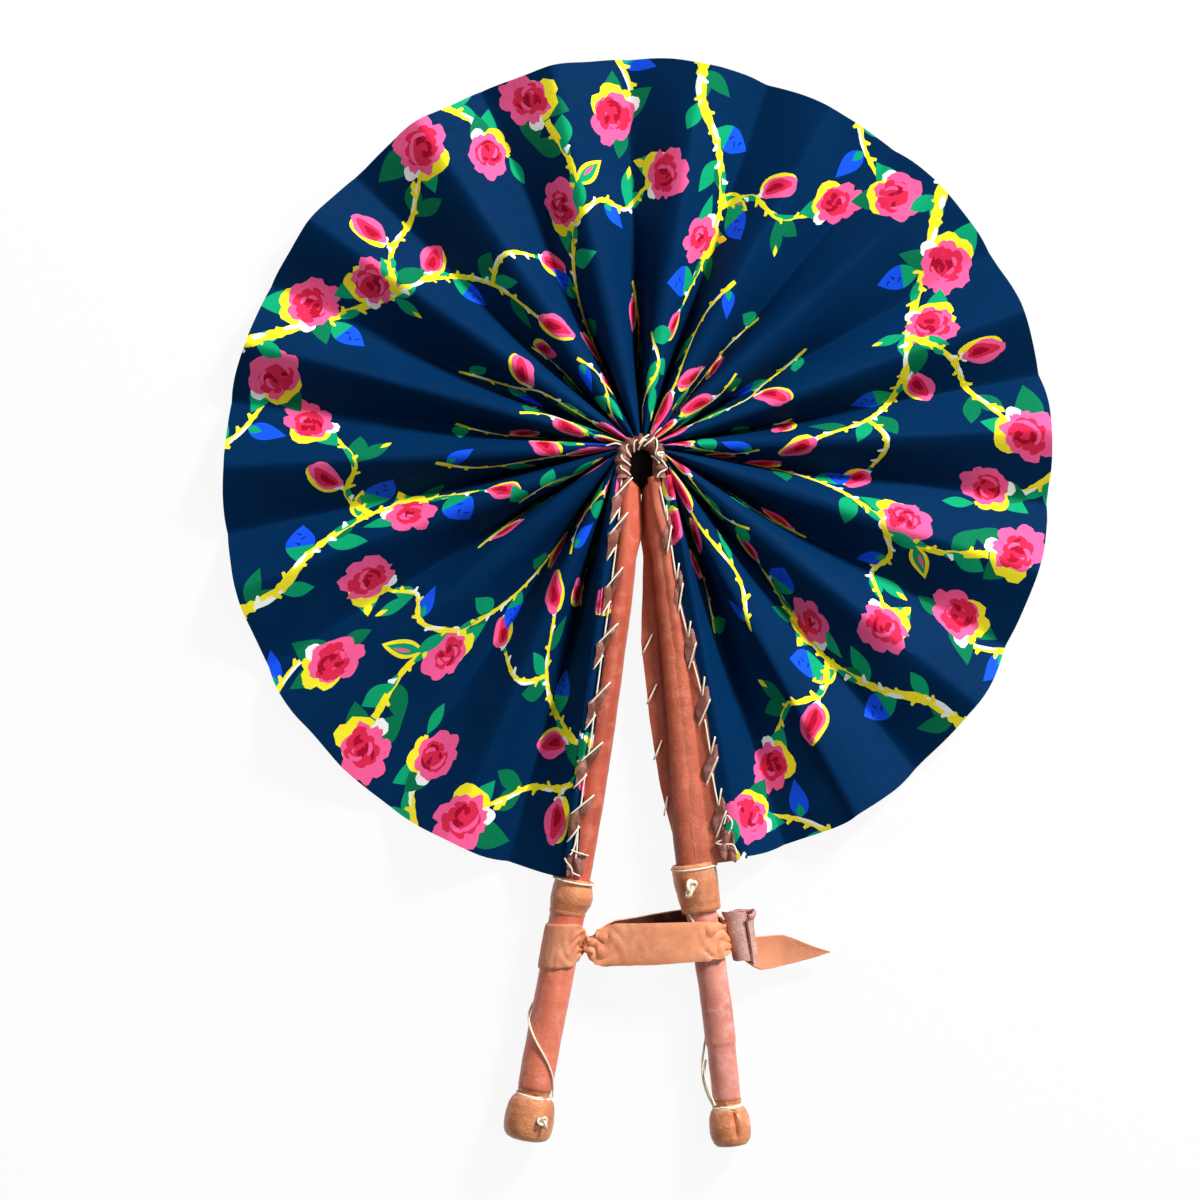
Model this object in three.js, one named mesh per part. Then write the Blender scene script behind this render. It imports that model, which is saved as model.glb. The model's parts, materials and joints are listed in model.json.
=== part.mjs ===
import * as THREE from "three";

// Leather folding fan, opened to nearly a full circle and lying face up on a table.
// Millimetres: +X to the right, +Y towards the top of the leaf, +Z up from the table.
// Everything is built round the hub, and the group is then moved so that its origin
// is the middle of the outline on the table.

// Fits
const seatGap = 0.3;

// Leaf of pleated cotton
const leafRadius = 164;
const leafCentreX = -1.5;
const leafCentreY = -7;
const leafLeftDegrees = 10;
const leafRightDegrees = 346;
const clothThickness = 0.3;
const pleatDepthAtHub = 20;
const pleatDepthAtRim = 13.5;
const leafStations = 10;
const stationCrowding = 1.4;
const wallLimitShare = 0.33;

// Where the creases lie between the left guard and the right guard, valley and ridge in turn
const creaseShares = [
  0.024, 0.048, 0.077, 0.125, 0.149, 0.182, 0.205, 0.232, 0.259, 0.284, 0.31,
  0.342, 0.369, 0.405, 0.435, 0.467, 0.5, 0.533, 0.5625, 0.592, 0.625, 0.649,
  0.685, 0.714, 0.741, 0.765, 0.795, 0.824, 0.857, 0.884, 0.92, 0.946, 0.982,
];

// Hub arch, the leather that holds the inner ends of the pleats
const archCentreY = -3.6;
const archRadius = 10.8;
const archHoleRadius = 4.6;
const archFootDrop = 4.3;
const archFootDegrees = 68;
const archEdgeRound = 1.3;
const archEdgeSteps = 3;
const liningHeight = 9;
const hubKnotRadius = 1.6;
const hubKnotAside = 7.6;
const hubKnotRise = 2;
const knotSides = 12;
const knotRows = 8;

// Guards: what both have alike
const guardTopDrop = 5.9;
const guardTopAside = 5.2;
const coverTopHalfWidth = 4.7;
const coverTopHalfHeight = 7.8;
const stickTopRadius = 3.9;
const stickTopInset = 3;
const bindingThickness = 1.3;
const wingThickness = 2;
const threadRadius = 0.6;
const capThreadRadius = 0.7;
const sleeveWall = 1.1;
const lipHalfShare = 0.33;
const lipCrownShare = 0.1;
const bindingSpineShares = [0, 0.25, 0.5, 0.75];
const sleeveTieShare = 0.1;
const capNeckLength = 2.1;
const guardStations = 12;
const gripStations = 6;
const gripSamples = 60;
const threadSides = 6;
const ringPoints = 20;

// Profiles in rows of [share along, share of the swelling]
const sleeveProfileShares = [
  [0, 0],
  [0.2, 0],
  [0.4, 1],
  [0.75, 1],
  [1, 0.5],
];
const capShoulderShares = [
  [0.1, 0.62],
  [0.28, 0.94],
  [0.48, 1],
];
const capEndShares = [
  [0.74, 0.86],
  [0.9, 0.5],
  [1, 0],
];

// Guards: what differs. Lengths along a guard start at its hub end.
const leftGuard = {
  side: -1,
  leanDegrees: 8.5,
  bend: 4,
  bendShares: [
    [0, 0],
    [0.12, 0.8],
    [0.25, 1],
    [0.62, 0.85],
    [1, 0],
  ],
  edgeDegrees: leafLeftDegrees,
  stickEndRadius: 4.6,
  coverEndRadius: 6.3,
  wingReach: 2.2,
  wingReachShares: [
    [0, 0.1],
    [0.25, 1],
    [0.8, 1],
    [0.92, 0],
    [1, 0],
  ],
  wingTurnDegrees: -62,
  bindingStartDegrees: 62,
  sleeveSetback: -1.4,
  sleeveLength: 15,
  sleeveBulge: 1.1,
  gripRadius: 6.8,
  gripLength: 71.5,
  capLength: 20.4,
  capRadius: 10,
  capEndRadius: 6.4,
  capNeckWall: 1.1,
};
const rightGuard = {
  side: 1,
  leanDegrees: 6.3,
  bend: 1,
  bendShares: [
    [0, 0],
    [0.28, 0.7],
    [0.62, 1.6],
    [0.78, -0.6],
    [1, 0],
  ],
  edgeDegrees: leafRightDegrees,
  stickEndRadius: 3.9,
  coverEndRadius: 7,
  wingReach: 6.2,
  wingReachShares: [
    [0, 0.03],
    [0.18, 0.3],
    [0.42, 1],
    [0.63, 0.85],
    [0.8, 0.5],
    [0.92, 0],
    [1, 0],
  ],
  wingTurnDegrees: 0,
  bindingStartDegrees: 112,
  sleeveSetback: 3.3,
  sleeveLength: 19.6,
  sleeveBulge: 0.9,
  gripRadius: 5.9,
  gripLength: 76,
  capLength: 18.2,
  capRadius: 8.4,
  capEndRadius: 4.6,
  capNeckWall: 0.9,
};

// Thread knots on the cap and the sleeve
const capKnotRadius = 1.9;
const capKnotHeight = 1.3;
const capKnotTurnDegrees = 62;
const capKnotFromEnd = 8;
const sleeveKnotRadius = 2.8;
const sleeveKnotLength = 3.6;
const sleeveKnotHeight = 1.5;
const sleeveKnotTurnDegrees = 70;
const sleeveKnotShare = 0.45;

// Strap that ties the two grips together
const strapThickness = 1.3;
const strapWidth = 16.4;
const strapBelowSleeve = 3.9;
const strapRiseDegrees = 1.6;
const eyeWidth = 18.8;
const loopPinchHalfHeight = 2;
const loopPinchLength = 4;
const loopPinchShare = 0.68;
const loopSpreadLength = 24;
const loopClearance = 0.7;
const loopSteps = 2;
const keeperTurns = 2.2;
const keeperLoopSideTurns = 1.5;
const keeperTailSideTurns = 2;
const keeperCoreRadius = 1.4;
const keeperPitch = 1.75;
const keeperWidth = 20.4;
const keeperRise = 1.6;
const keeperSteps = 40;
const loopBackRise = 3;
const tailLength = 29.3;
const tailWidth = 14;
const tailDrop = 6.2;
const tailTipRise = 0.6;
const tailThickness = 1.5;
const tailDropShare = 0.8;
const tailColumnShares = [0, 0.5, 1];
const tailRowShares = [
  [0, 0.2, -0.6],
  [0.08, 0.17, -0.78],
  [0.37, 0.18, -0.71],
  [0.52, 0.06, -0.64],
  [0.7, -0.09, -0.56],
  [0.88, -0.25, -0.46],
  [1, -0.34, -0.39],
];

const upward = new THREE.Vector3(0, 0, 1);
const turn = THREE.MathUtils.degToRad;
const mix = THREE.MathUtils.lerp;

// Colours of the leather, cloth, wood and thread
const finishes = {
  print: new THREE.MeshStandardMaterial({ color: 0x0d3050, roughness: 0.9 }),
  tanLeather: new THREE.MeshStandardMaterial({ color: 0xc27b47, roughness: 0.55 }),
  redLeather: new THREE.MeshStandardMaterial({ color: 0xc0603f, roughness: 0.5 }),
  brownLeather: new THREE.MeshStandardMaterial({ color: 0x8a4a3c, roughness: 0.6 }),
  paleLeather: new THREE.MeshStandardMaterial({ color: 0xe0946a, roughness: 0.5 }),
  fleshLeather: new THREE.MeshStandardMaterial({ color: 0x7d6a58, roughness: 0.85 }),
  thread: new THREE.MeshStandardMaterial({ color: 0xefe3c8, roughness: 0.9 }),
  wood: new THREE.MeshStandardMaterial({ color: 0xb98c5a, roughness: 0.7 }),
};

const fan = new THREE.Group();

function addPiece(name, geometry, material) {
  const piece = new THREE.Mesh(geometry, material);
  piece.name = name;
  fan.add(piece);
  return piece;
}

// A value that runs smoothly through rows of [share along, value]
function valueAlong(rows, share) {
  const last = rows.length - 1;
  const next = rows.findIndex((row, i) => i > 0 && (share <= row[0] || i === last));
  const [startShare, startValue] = rows[next - 1];
  const [endShare, endValue] = rows[next];
  return mix(startValue, endValue, THREE.MathUtils.smoothstep(share, startShare, endShare));
}

// A closed surface from points and faces, with its faces turned outwards
function closedSurface(points, faces) {
  let volume = 0;
  for (const [a, b, c] of faces) {
    volume += points[a].dot(points[b].clone().cross(points[c]));
  }
  const outward = volume > 0 ? faces : faces.map(([a, b, c]) => [a, c, b]);
  const geometry = new THREE.BufferGeometry().setFromPoints(points);
  geometry.setIndex(outward.flat());
  geometry.computeVertexNormals();
  return geometry;
}

// Faces of the strip between two rows of point numbers
function stripFaces(rowA, rowB, closed) {
  const faces = [];
  const count = closed ? rowA.length : rowA.length - 1;
  for (let i = 0; i < count; i += 1) {
    const j = (i + 1) % rowA.length;
    faces.push([rowA[i], rowA[j], rowB[j]], [rowA[i], rowB[j], rowB[i]]);
  }
  return faces;
}

// The same strip seen from behind, split along the same diagonals
function stripFacesBehind(rowA, rowB, closed) {
  return stripFaces(rowA, rowB, closed).map(([a, b, c]) => [a, c, b]);
}

// A solid rod through rings of points, with a point in the middle of each end
function rodThrough(rings) {
  const points = rings.flat();
  const size = rings[0].length;
  const numbers = rings.map((ring, r) => ring.map((_, i) => r * size + i));
  const faces = [];
  for (let r = 0; r + 1 < rings.length; r += 1) {
    faces.push(...stripFaces(numbers[r], numbers[r + 1], true));
  }
  const ends = [numbers[0].slice().reverse(), numbers[numbers.length - 1]];
  for (const end of ends) {
    const middle = new THREE.Vector3();
    end.forEach((n) => middle.add(points[n]));
    points.push(middle.divideScalar(end.length));
    end.forEach((n, i) => faces.push([n, end[(i + 1) % size], points.length - 1]));
  }
  return closedSurface(points, faces);
}

// A tube with a bore through it, from outer and inner rings with as many points
function tubeThrough(outerRings, innerRings) {
  const size = outerRings[0].length;
  const points = [...outerRings.flat(), ...innerRings.flat()];
  const outer = outerRings.map((ring, r) => ring.map((_, i) => r * size + i));
  const shift = outerRings.length * size;
  const inner = innerRings.map((ring, r) => ring.map((_, i) => shift + r * size + i));
  const faces = [];
  for (let r = 0; r + 1 < outer.length; r += 1) {
    faces.push(...stripFaces(outer[r], outer[r + 1], true));
    faces.push(...stripFacesBehind(inner[r], inner[r + 1], true));
  }
  faces.push(...stripFaces(inner[0], outer[0], true));
  faces.push(...stripFaces(outer[outer.length - 1], inner[inner.length - 1], true));
  return closedSurface(points, faces);
}

// A thin folded plate between a face of points and the matching face behind it
function plateBetween(frontRows, backRows) {
  const width = frontRows[0].length;
  const points = [...frontRows.flat(), ...backRows.flat()];
  const front = frontRows.map((row, r) => row.map((_, i) => r * width + i));
  const shift = frontRows.length * width;
  const back = backRows.map((row, r) => row.map((_, i) => shift + r * width + i));
  const last = front.length - 1;
  const faces = [];
  for (let r = 0; r < last; r += 1) {
    faces.push(...stripFaces(front[r], front[r + 1], false));
    faces.push(...stripFacesBehind(back[r], back[r + 1], false));
  }
  const column = (grid, i) => grid.map((row) => row[i]);
  faces.push(...stripFaces(back[0], front[0], false));
  faces.push(...stripFaces(front[last], back[last], false));
  faces.push(...stripFaces(column(front, 0), column(back, 0), false));
  faces.push(...stripFaces(column(back, width - 1), column(front, width - 1), false));
  return closedSurface(points, faces);
}

// Direction in the leaf's plane, turned clockwise from straight down
function leafDirection(degrees) {
  return new THREE.Vector3(-Math.sin(turn(degrees)), -Math.cos(turn(degrees)), 0);
}

// Point on the leaf's rim that a line from the hub meets
function rimPoint(degrees) {
  const direction = leafDirection(degrees);
  const centre = new THREE.Vector3(leafCentreX, leafCentreY, 0);
  const along = centre.dot(direction);
  const across = Math.sqrt(centre.lengthSq() - along * along);
  const reach = along + Math.sqrt(leafRadius * leafRadius - across * across);
  return direction.multiplyScalar(reach);
}

// Inner end of a crease, on the outside of the arch
function innerPoint(share) {
  const degrees = mix(archFootDegrees, 360 - archFootDegrees, share);
  const onArch = leafDirection(degrees).multiplyScalar(archRadius + seatGap);
  onArch.y += archCentreY;
  return onArch;
}

const creases = [0, ...creaseShares, 1].map((share) => ({
  inner: innerPoint(share),
  outer: rimPoint(mix(leafLeftDegrees, leafRightDegrees, share)),
}));

// Half of the height between a valley and a ridge, from the hub to the rim
function halfDepth(share) {
  const eased = 1 - (1 - share) * (1 - share);
  return mix(pleatDepthAtHub, pleatDepthAtRim, eased) / 2;
}

function creasePoint(number, share, level) {
  const { inner, outer } = creases[number];
  const point = inner.clone().lerp(outer, share);
  point.z = pleatDepthAtHub / 2 + level * halfDepth(share);
  return point;
}

// The cloth's thickness measured level across a sloping panel
function levelThickness(panelWidth, share) {
  const depth = 2 * halfDepth(share);
  return Math.min(
    (clothThickness * Math.hypot(panelWidth, depth)) / depth,
    panelWidth * wallLimitShare,
  );
}

function stationShares(count) {
  return Array.from({ length: count + 1 }, (_, i) => (i / count) ** stationCrowding);
}

// One pleat: two panels that meet in a ridge, each ending in half a valley
function pleatGeometry(ridge) {
  const front = [];
  const back = [];
  for (const share of stationShares(leafStations)) {
    const top = creasePoint(ridge, share, 1);
    const feet = [ridge - 1, ridge + 1].map((n) => creasePoint(n, share, -1));
    const level = top.clone().setZ(feet[0].z);
    const widths = feet.map((foot) => foot.distanceTo(level));
    const walls = widths.map((width) => levelThickness(width, share));
    const outerFeet = feet.map((foot, i) => {
      return foot.clone().lerp(level, seatGap / 2 / widths[i]);
    });
    const innerFeet = feet.map((foot, i) => {
      return foot.clone().lerp(level, (seatGap / 2 + walls[i]) / widths[i]);
    });
    const rise = 1 - (walls[0] + walls[1]) / (widths[0] + widths[1]);
    const innerShare = rise + walls[0] / widths[0];
    const innerTop = innerShare <= 1
      ? feet[0].clone().lerp(level, innerShare)
      : level.clone().lerp(feet[1], ((innerShare - 1) * widths[0]) / widths[1]);
    innerTop.z = mix(level.z, top.z, rise);
    front.push([outerFeet[0], top, outerFeet[1]]);
    back.push([innerFeet[0], innerTop, innerFeet[1]]);
  }
  return plateBetween(front, back);
}

// The half pleat sewn to a guard, from the guard's edge down to the first valley
function endPanelGeometry(edge, valley) {
  const front = [];
  const back = [];
  for (const share of stationShares(leafStations)) {
    const top = creasePoint(edge, share, 1);
    const foot = creasePoint(valley, share, -1);
    const level = top.clone().setZ(foot.z);
    const width = foot.distanceTo(level);
    const wall = levelThickness(width, share);
    const step = level.clone().sub(foot).divideScalar(width);
    const outerFoot = foot.clone().addScaledVector(step, seatGap / 2);
    front.push([outerFoot, top.clone().addScaledVector(step, -wall)]);
    back.push([outerFoot.clone().addScaledVector(step, wall), top]);
  }
  return plateBetween(front, back);
}

const lastCrease = creases.length - 1;
for (let ridge = 2; ridge < lastCrease; ridge += 2) {
  const number = String(ridge / 2).padStart(2, "0");
  addPiece(`pleat_${number}`, pleatGeometry(ridge), finishes.print);
}
addPiece("leaf_end_left", endPanelGeometry(0, 1), finishes.print);
addPiece("leaf_end_right", endPanelGeometry(lastCrease, lastCrease - 1), finishes.print);

// Hub arch, a strip of leather on edge, bent over the inner ends of the pleats
function archGeometry() {
  const outerStart = turn(270 - archFootDegrees);
  const outerEnd = turn(270 + archFootDegrees);
  const footY = archCentreY - archFootDrop;
  const arch = new THREE.Shape();
  arch.absarc(0, archCentreY, archRadius, outerStart, outerEnd, true);
  arch.lineTo(archHoleRadius, footY);
  arch.lineTo(archHoleRadius, archCentreY);
  arch.absarc(0, archCentreY, archHoleRadius, 0, Math.PI, false);
  arch.lineTo(-archHoleRadius, footY);
  const geometry = new THREE.ExtrudeGeometry(arch, {
    depth: pleatDepthAtHub - 2 * archEdgeRound,
    bevelThickness: archEdgeRound,
    bevelSize: archEdgeRound,
    bevelOffset: -archEdgeRound,
    bevelSegments: archEdgeSteps,
    curveSegments: ringPoints,
  });
  return geometry.translate(0, 0, archEdgeRound);
}
addPiece("hub_arch", archGeometry(), finishes.brownLeather);

// Lining that closes the arch's hole from below
function liningGeometry() {
  const radius = archHoleRadius - seatGap;
  const lining = new THREE.Shape();
  lining.absarc(0, archCentreY, radius, 0, Math.PI, false);
  lining.lineTo(-radius, archCentreY - archFootDrop);
  lining.lineTo(radius, archCentreY - archFootDrop);
  return new THREE.ExtrudeGeometry(lining, {
    depth: liningHeight,
    bevelEnabled: false,
    curveSegments: ringPoints,
  });
}
addPiece("hub_lining", liningGeometry(), finishes.brownLeather);

const hubKnot = addPiece(
  "hub_knot",
  new THREE.SphereGeometry(hubKnotRadius, knotSides, knotRows),
  finishes.thread,
);
hubKnot.position.set(
  hubKnotAside,
  archCentreY + hubKnotRise,
  pleatDepthAtHub + seatGap + hubKnotRadius,
);

// The line that a guard's stick follows, and the lengths that follow from it
function layOutGuard(guard) {
  const lean = turn(guard.leanDegrees);
  const start = new THREE.Vector3(
    guard.side * guardTopAside,
    archCentreY - guardTopDrop,
    pleatDepthAtHub / 2,
  );
  const down = new THREE.Vector3(guard.side * Math.sin(lean), -Math.cos(lean), 0);
  const gapward = new THREE.Vector3(-guard.side * Math.cos(lean), -Math.sin(lean), 0);
  const rimReach = rimPoint(guard.edgeDegrees).sub(start).dot(down);
  const sleeveStart = rimReach - guard.sleeveSetback;
  const sleeveEnd = sleeveStart + guard.sleeveLength;
  const capStart = sleeveEnd + guard.gripLength;
  const length = capStart + guard.capLength;
  const settleShare = sleeveStart / length;
  const points = guard.bendShares.map(([along, aside]) => {
    const point = start.clone();
    point.addScaledVector(down, along * length);
    point.addScaledVector(gapward, aside * guard.bend);
    const settled = THREE.MathUtils.smoothstep(along, settleShare, 1);
    point.z = mix(pleatDepthAtHub / 2, guard.capRadius, settled);
    return point;
  });
  const line = new THREE.CatmullRomCurve3(points);
  return { ...guard, line, length, sleeveStart, sleeveEnd, capStart };
}

// Place and directions on a guard: along it, towards the other guard, and up
function placeOn(guard, distance) {
  const share = THREE.MathUtils.clamp(distance / guard.length, 0, 1);
  const centre = guard.line.getPointAt(share);
  const along = guard.line.getTangentAt(share);
  const gapward = upward.clone().cross(along).normalize().multiplyScalar(-guard.side);
  const up = along.clone().cross(gapward).normalize();
  up.multiplyScalar(Math.sign(up.z));
  return { centre, along, gapward, up };
}

function pointAbout(place, reachGapward, reachUp) {
  return place.centre
    .clone()
    .addScaledVector(place.gapward, reachGapward)
    .addScaledVector(place.up, reachUp);
}

function ringAbout(place, radius) {
  return Array.from({ length: ringPoints }, (_, i) => {
    const angle = (i / ringPoints) * 2 * Math.PI;
    return pointAbout(place, radius * Math.cos(angle), radius * Math.sin(angle));
  });
}

function distancesBetween(start, end, count) {
  return Array.from({ length: count + 1 }, (_, i) => mix(start, end, i / count));
}

function stickRadius(guard, distance) {
  return mix(stickTopRadius, guard.stickEndRadius, distance / guard.length);
}

// Half width and half height of the cover at a distance from the hub
function coverHalves(guard, distance) {
  const share = distance / guard.sleeveStart;
  return {
    wide: mix(coverTopHalfWidth, guard.coverEndRadius, share),
    high: mix(coverTopHalfHeight, guard.coverEndRadius, Math.min(1, share)),
  };
}

// Outer and inner outline of the cover: an oval tube with its sewn edge drawn out
function coverRings(guard, distance) {
  const place = placeOn(guard, distance);
  const { wide, high } = coverHalves(guard, distance);
  const bore = stickRadius(guard, distance) + seatGap;
  const share = Math.min(1, distance / guard.sleeveStart);
  const reach = guard.wingReach * valueAlong(guard.wingReachShares, share);
  const wing = turn(guard.wingTurnDegrees);
  const start = Math.asin(wingThickness / 2 / wide);
  const lips = [-1, 0, 1];
  const round = ringPoints - lips.length;
  const outer = [];
  const inner = [];
  for (let i = 0; i < round; i += 1) {
    const angle = wing + mix(start, 2 * Math.PI - start, i / (round - 1));
    outer.push(pointAbout(place, wide * Math.cos(angle), high * Math.sin(angle)));
    inner.push(pointAbout(place, bore * Math.cos(angle), bore * Math.sin(angle)));
  }
  const reachFromAxis = Math.hypot(wide * Math.cos(wing), high * Math.sin(wing)) + reach;
  for (const lip of lips) {
    const out = reachFromAxis + (1 - Math.abs(lip)) * reach * lipCrownShare;
    const across = lip * wingThickness * lipHalfShare;
    const angle = wing + (lip * start) / 2;
    outer.push(
      pointAbout(
        place,
        out * Math.cos(wing) - across * Math.sin(wing),
        out * Math.sin(wing) + across * Math.cos(wing),
      ),
    );
    inner.push(pointAbout(place, bore * Math.cos(angle), bore * Math.sin(angle)));
  }
  return { outer, inner };
}

function coverGeometry(guard) {
  const end = (guard.sleeveStart + guard.sleeveEnd) / 2;
  const rings = distancesBetween(0, end, guardStations).map((d) => coverRings(guard, d));
  return tubeThrough(
    rings.map((ring) => ring.outer),
    rings.map((ring) => ring.inner),
  );
}

// Leaf-side binding: a strip that hugs the cover and ends at the leaf's first crease
function bindingGeometry(guard) {
  const edgeCrease = guard.side < 0 ? 0 : lastCrease;
  const top = [];
  const bottom = [];
  const end = guard.sleeveStart - threadRadius - seatGap;
  for (const distance of distancesBetween(seatGap, end, guardStations)) {
    const place = placeOn(guard, distance);
    const { wide, high } = coverHalves(guard, distance);
    const edge = leafEdgeAt(guard, edgeCrease, place);
    const edgeOut = edge.clone().sub(place.centre);
    const middle = seatGap + bindingThickness / 2;
    const oval = new THREE.Vector2(wide + middle, high + middle);
    const tip = new THREE.Vector2(edgeOut.dot(place.gapward), edgeOut.dot(place.up));
    const tipOnOval = tip.clone().divide(oval);
    const tipAngle = tipOnOval.angle();
    tip.divideScalar(Math.min(1, tipOnOval.length()));
    const startAngle = turn(guard.bindingStartDegrees);
    const spine = bindingSpineShares.map((share) => {
      const angle = mix(startAngle, tipAngle, share);
      return new THREE.Vector2(Math.cos(angle), Math.sin(angle)).multiply(oval);
    });
    spine.push(tip);
    const tops = [];
    const bottoms = [];
    spine.forEach((point, i) => {
      const before = spine[Math.max(0, i - 1)];
      const after = spine[Math.min(spine.length - 1, i + 1)];
      const run = after.clone().sub(before).normalize();
      const out = new THREE.Vector2(run.y, -run.x).multiplyScalar(bindingThickness / 2);
      tops.push(pointAbout(place, point.x + out.x, point.y + out.y));
      bottoms.push(pointAbout(place, point.x - out.x, point.y - out.y));
    });
    top.push(tops);
    bottom.push(bottoms);
  }
  return plateBetween(top, bottom);
}

// Where the leaf's sewn edge crosses a place on the guard, kept clear of the cloth
function leafEdgeAt(guard, edgeCrease, place) {
  const { inner, outer } = creases[edgeCrease];
  const run = outer.clone().sub(inner);
  const share = place.centre.clone().sub(inner).dot(place.along) / run.dot(place.along);
  const edge = creasePoint(edgeCrease, Math.max(0, Math.min(1, share)), 1);
  const across = new THREE.Vector3(run.y, -run.x, 0).normalize();
  across.multiplyScalar(Math.sign(across.dot(place.gapward)));
  edge.addScaledVector(across, seatGap + bindingThickness / 2);
  edge.z -= bindingThickness / 2;
  return edge;
}

// A round piece turned about the guard's own line
function turnOnGuard(name, guard, distance, profile, material) {
  const place = placeOn(guard, distance);
  const points = profile.map(([out, along]) => new THREE.Vector2(out, along));
  const geometry = new THREE.LatheGeometry(points, ringPoints);
  const piece = addPiece(name, geometry, material);
  piece.position.copy(place.centre);
  piece.quaternion.setFromUnitVectors(new THREE.Vector3(0, 1, 0), place.along);
}

function addSleeve(label, guard) {
  const wide = Math.max(guard.coverEndRadius, guard.gripRadius);
  const bore = wide + seatGap;
  const snug = bore + sleeveWall;
  const full = snug + guard.sleeveBulge;
  const { sleeveLength } = guard;
  turnOnGuard(
    `${label}_sleeve`,
    guard,
    guard.sleeveStart,
    [
      [bore, 0],
      ...sleeveProfileShares.map(([along, swell]) => {
        return [mix(snug, full, swell), along * sleeveLength];
      }),
      [bore, sleeveLength],
      [bore, 0],
    ],
    finishes.tanLeather,
  );
  addThreadRing(
    `${label}_sleeve_tie`,
    guard,
    guard.sleeveStart + sleeveLength * sleeveTieShare,
    snug,
    threadRadius,
  );
}

function addThreadRing(name, guard, distance, seatRadius, radius) {
  const place = placeOn(guard, distance);
  const ring = addPiece(
    name,
    new THREE.TorusGeometry(seatRadius + seatGap + radius, radius, threadSides, ringPoints),
    finishes.thread,
  );
  ring.position.copy(place.centre);
  ring.quaternion.setFromUnitVectors(upward, place.along);
}

function addGripAndStick(label, guard) {
  const gripStart = (guard.sleeveStart + guard.sleeveEnd) / 2 + seatGap;
  const distances = distancesBetween(gripStart, guard.capStart - seatGap, gripStations);
  const outer = distances.map((d) => ringAbout(placeOn(guard, d), guard.gripRadius));
  const inner = distances.map((d) => {
    return ringAbout(placeOn(guard, d), stickRadius(guard, d) + seatGap);
  });
  addPiece(`${label}_grip`, tubeThrough(outer, inner), finishes.redLeather);
  const stickEnd = guard.capStart + guard.capLength / 2;
  const rings = distancesBetween(stickTopInset, stickEnd, guardStations).map((d) => {
    return ringAbout(placeOn(guard, d), stickRadius(guard, d));
  });
  addPiece(`${label}_stick`, rodThrough(rings), finishes.wood);
}

// End cap: a leather knob drawn over the end of the stick, with a tied neck
function addCap(label, guard) {
  const bore = guard.stickEndRadius + seatGap;
  const neck = bore + guard.capNeckWall;
  const mouth = guard.gripRadius;
  const { capLength, capRadius, capEndRadius } = guard;
  const neckStart = capThreadRadius;
  const neckEnd = neckStart + capNeckLength;
  turnOnGuard(
    `${label}_cap`,
    guard,
    guard.capStart,
    [
      [0, capLength / 2 + seatGap],
      [bore, capLength / 2 + seatGap],
      [bore, 0],
      [mouth, 0],
      [neck, neckStart],
      [neck, neckEnd],
      ...capShoulderShares.map(([along, swell]) => {
        return [mix(neck, capRadius, swell), mix(neckEnd, capLength, along)];
      }),
      ...capEndShares.map(([along, swell]) => {
        return [mix(capEndRadius, capRadius, swell), mix(neckEnd, capLength, along)];
      }),
      [0, capLength],
    ],
    finishes.tanLeather,
  );
  const tieAt = guard.capStart + (neckStart + neckEnd) / 2;
  addThreadRing(`${label}_cap_tie`, guard, tieAt, neck, capThreadRadius);
}

function addGuard(label, guard) {
  addPiece(`${label}_cover`, coverGeometry(guard), finishes.redLeather);
  addPiece(`${label}_binding`, bindingGeometry(guard), finishes.brownLeather);
  addSleeve(label, guard);
  addGripAndStick(label, guard);
  addCap(label, guard);
}

// A flat knot of thread lying on a round piece
function addKnot(name, place, turnDegrees, seatRadius, radius, length, height) {
  const angle = turn(turnDegrees);
  const knot = addPiece(name, new THREE.SphereGeometry(1, knotSides, knotRows), finishes.thread);
  const seat = seatRadius + seatGap + height;
  knot.position.copy(pointAbout(place, seat * Math.cos(angle), seat * Math.sin(angle)));
  const out = pointAbout(place, Math.cos(angle), Math.sin(angle)).sub(place.centre);
  const aside = place.along.clone().cross(out);
  knot.quaternion.setFromRotationMatrix(
    new THREE.Matrix4().makeBasis(aside, place.along, out),
  );
  knot.scale.set(radius, length, height);
}

const left = layOutGuard(leftGuard);
const right = layOutGuard(rightGuard);
addGuard("left", left);
addGuard("right", right);
addKnot(
  "left_cap_knot",
  placeOn(left, left.length - capKnotFromEnd),
  capKnotTurnDegrees,
  left.capRadius,
  capKnotRadius,
  capKnotRadius,
  capKnotHeight,
);
addKnot(
  "right_sleeve_knot",
  placeOn(right, mix(right.sleeveStart, right.sleeveEnd, sleeveKnotShare)),
  sleeveKnotTurnDegrees,
  right.coverEndRadius + seatGap + sleeveWall + right.sleeveBulge,
  sleeveKnotRadius,
  sleeveKnotLength,
  sleeveKnotHeight,
);

// Strap eye, a band stitched round the left grip
const eyeStart = left.sleeveEnd + strapBelowSleeve;
const eyePlace = placeOn(left, eyeStart + eyeWidth / 2);
const eyeBore = left.gripRadius + seatGap;
const eyeRadius = eyeBore + strapThickness;
turnOnGuard(
  "strap_eye",
  left,
  eyeStart,
  [
    [eyeBore, 0],
    [eyeRadius, 0],
    [eyeRadius, eyeWidth],
    [eyeBore, eyeWidth],
    [eyeBore, 0],
  ],
  finishes.paleLeather,
);

// Strap's own frame: X from the left grip to the right one, Y along the grips, Z up
const strap = new THREE.Group();
strap.position.copy(eyePlace.centre);
strap.rotation.z = turn(strapRiseDegrees);
fan.add(strap);
strap.updateMatrixWorld(true);

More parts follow.
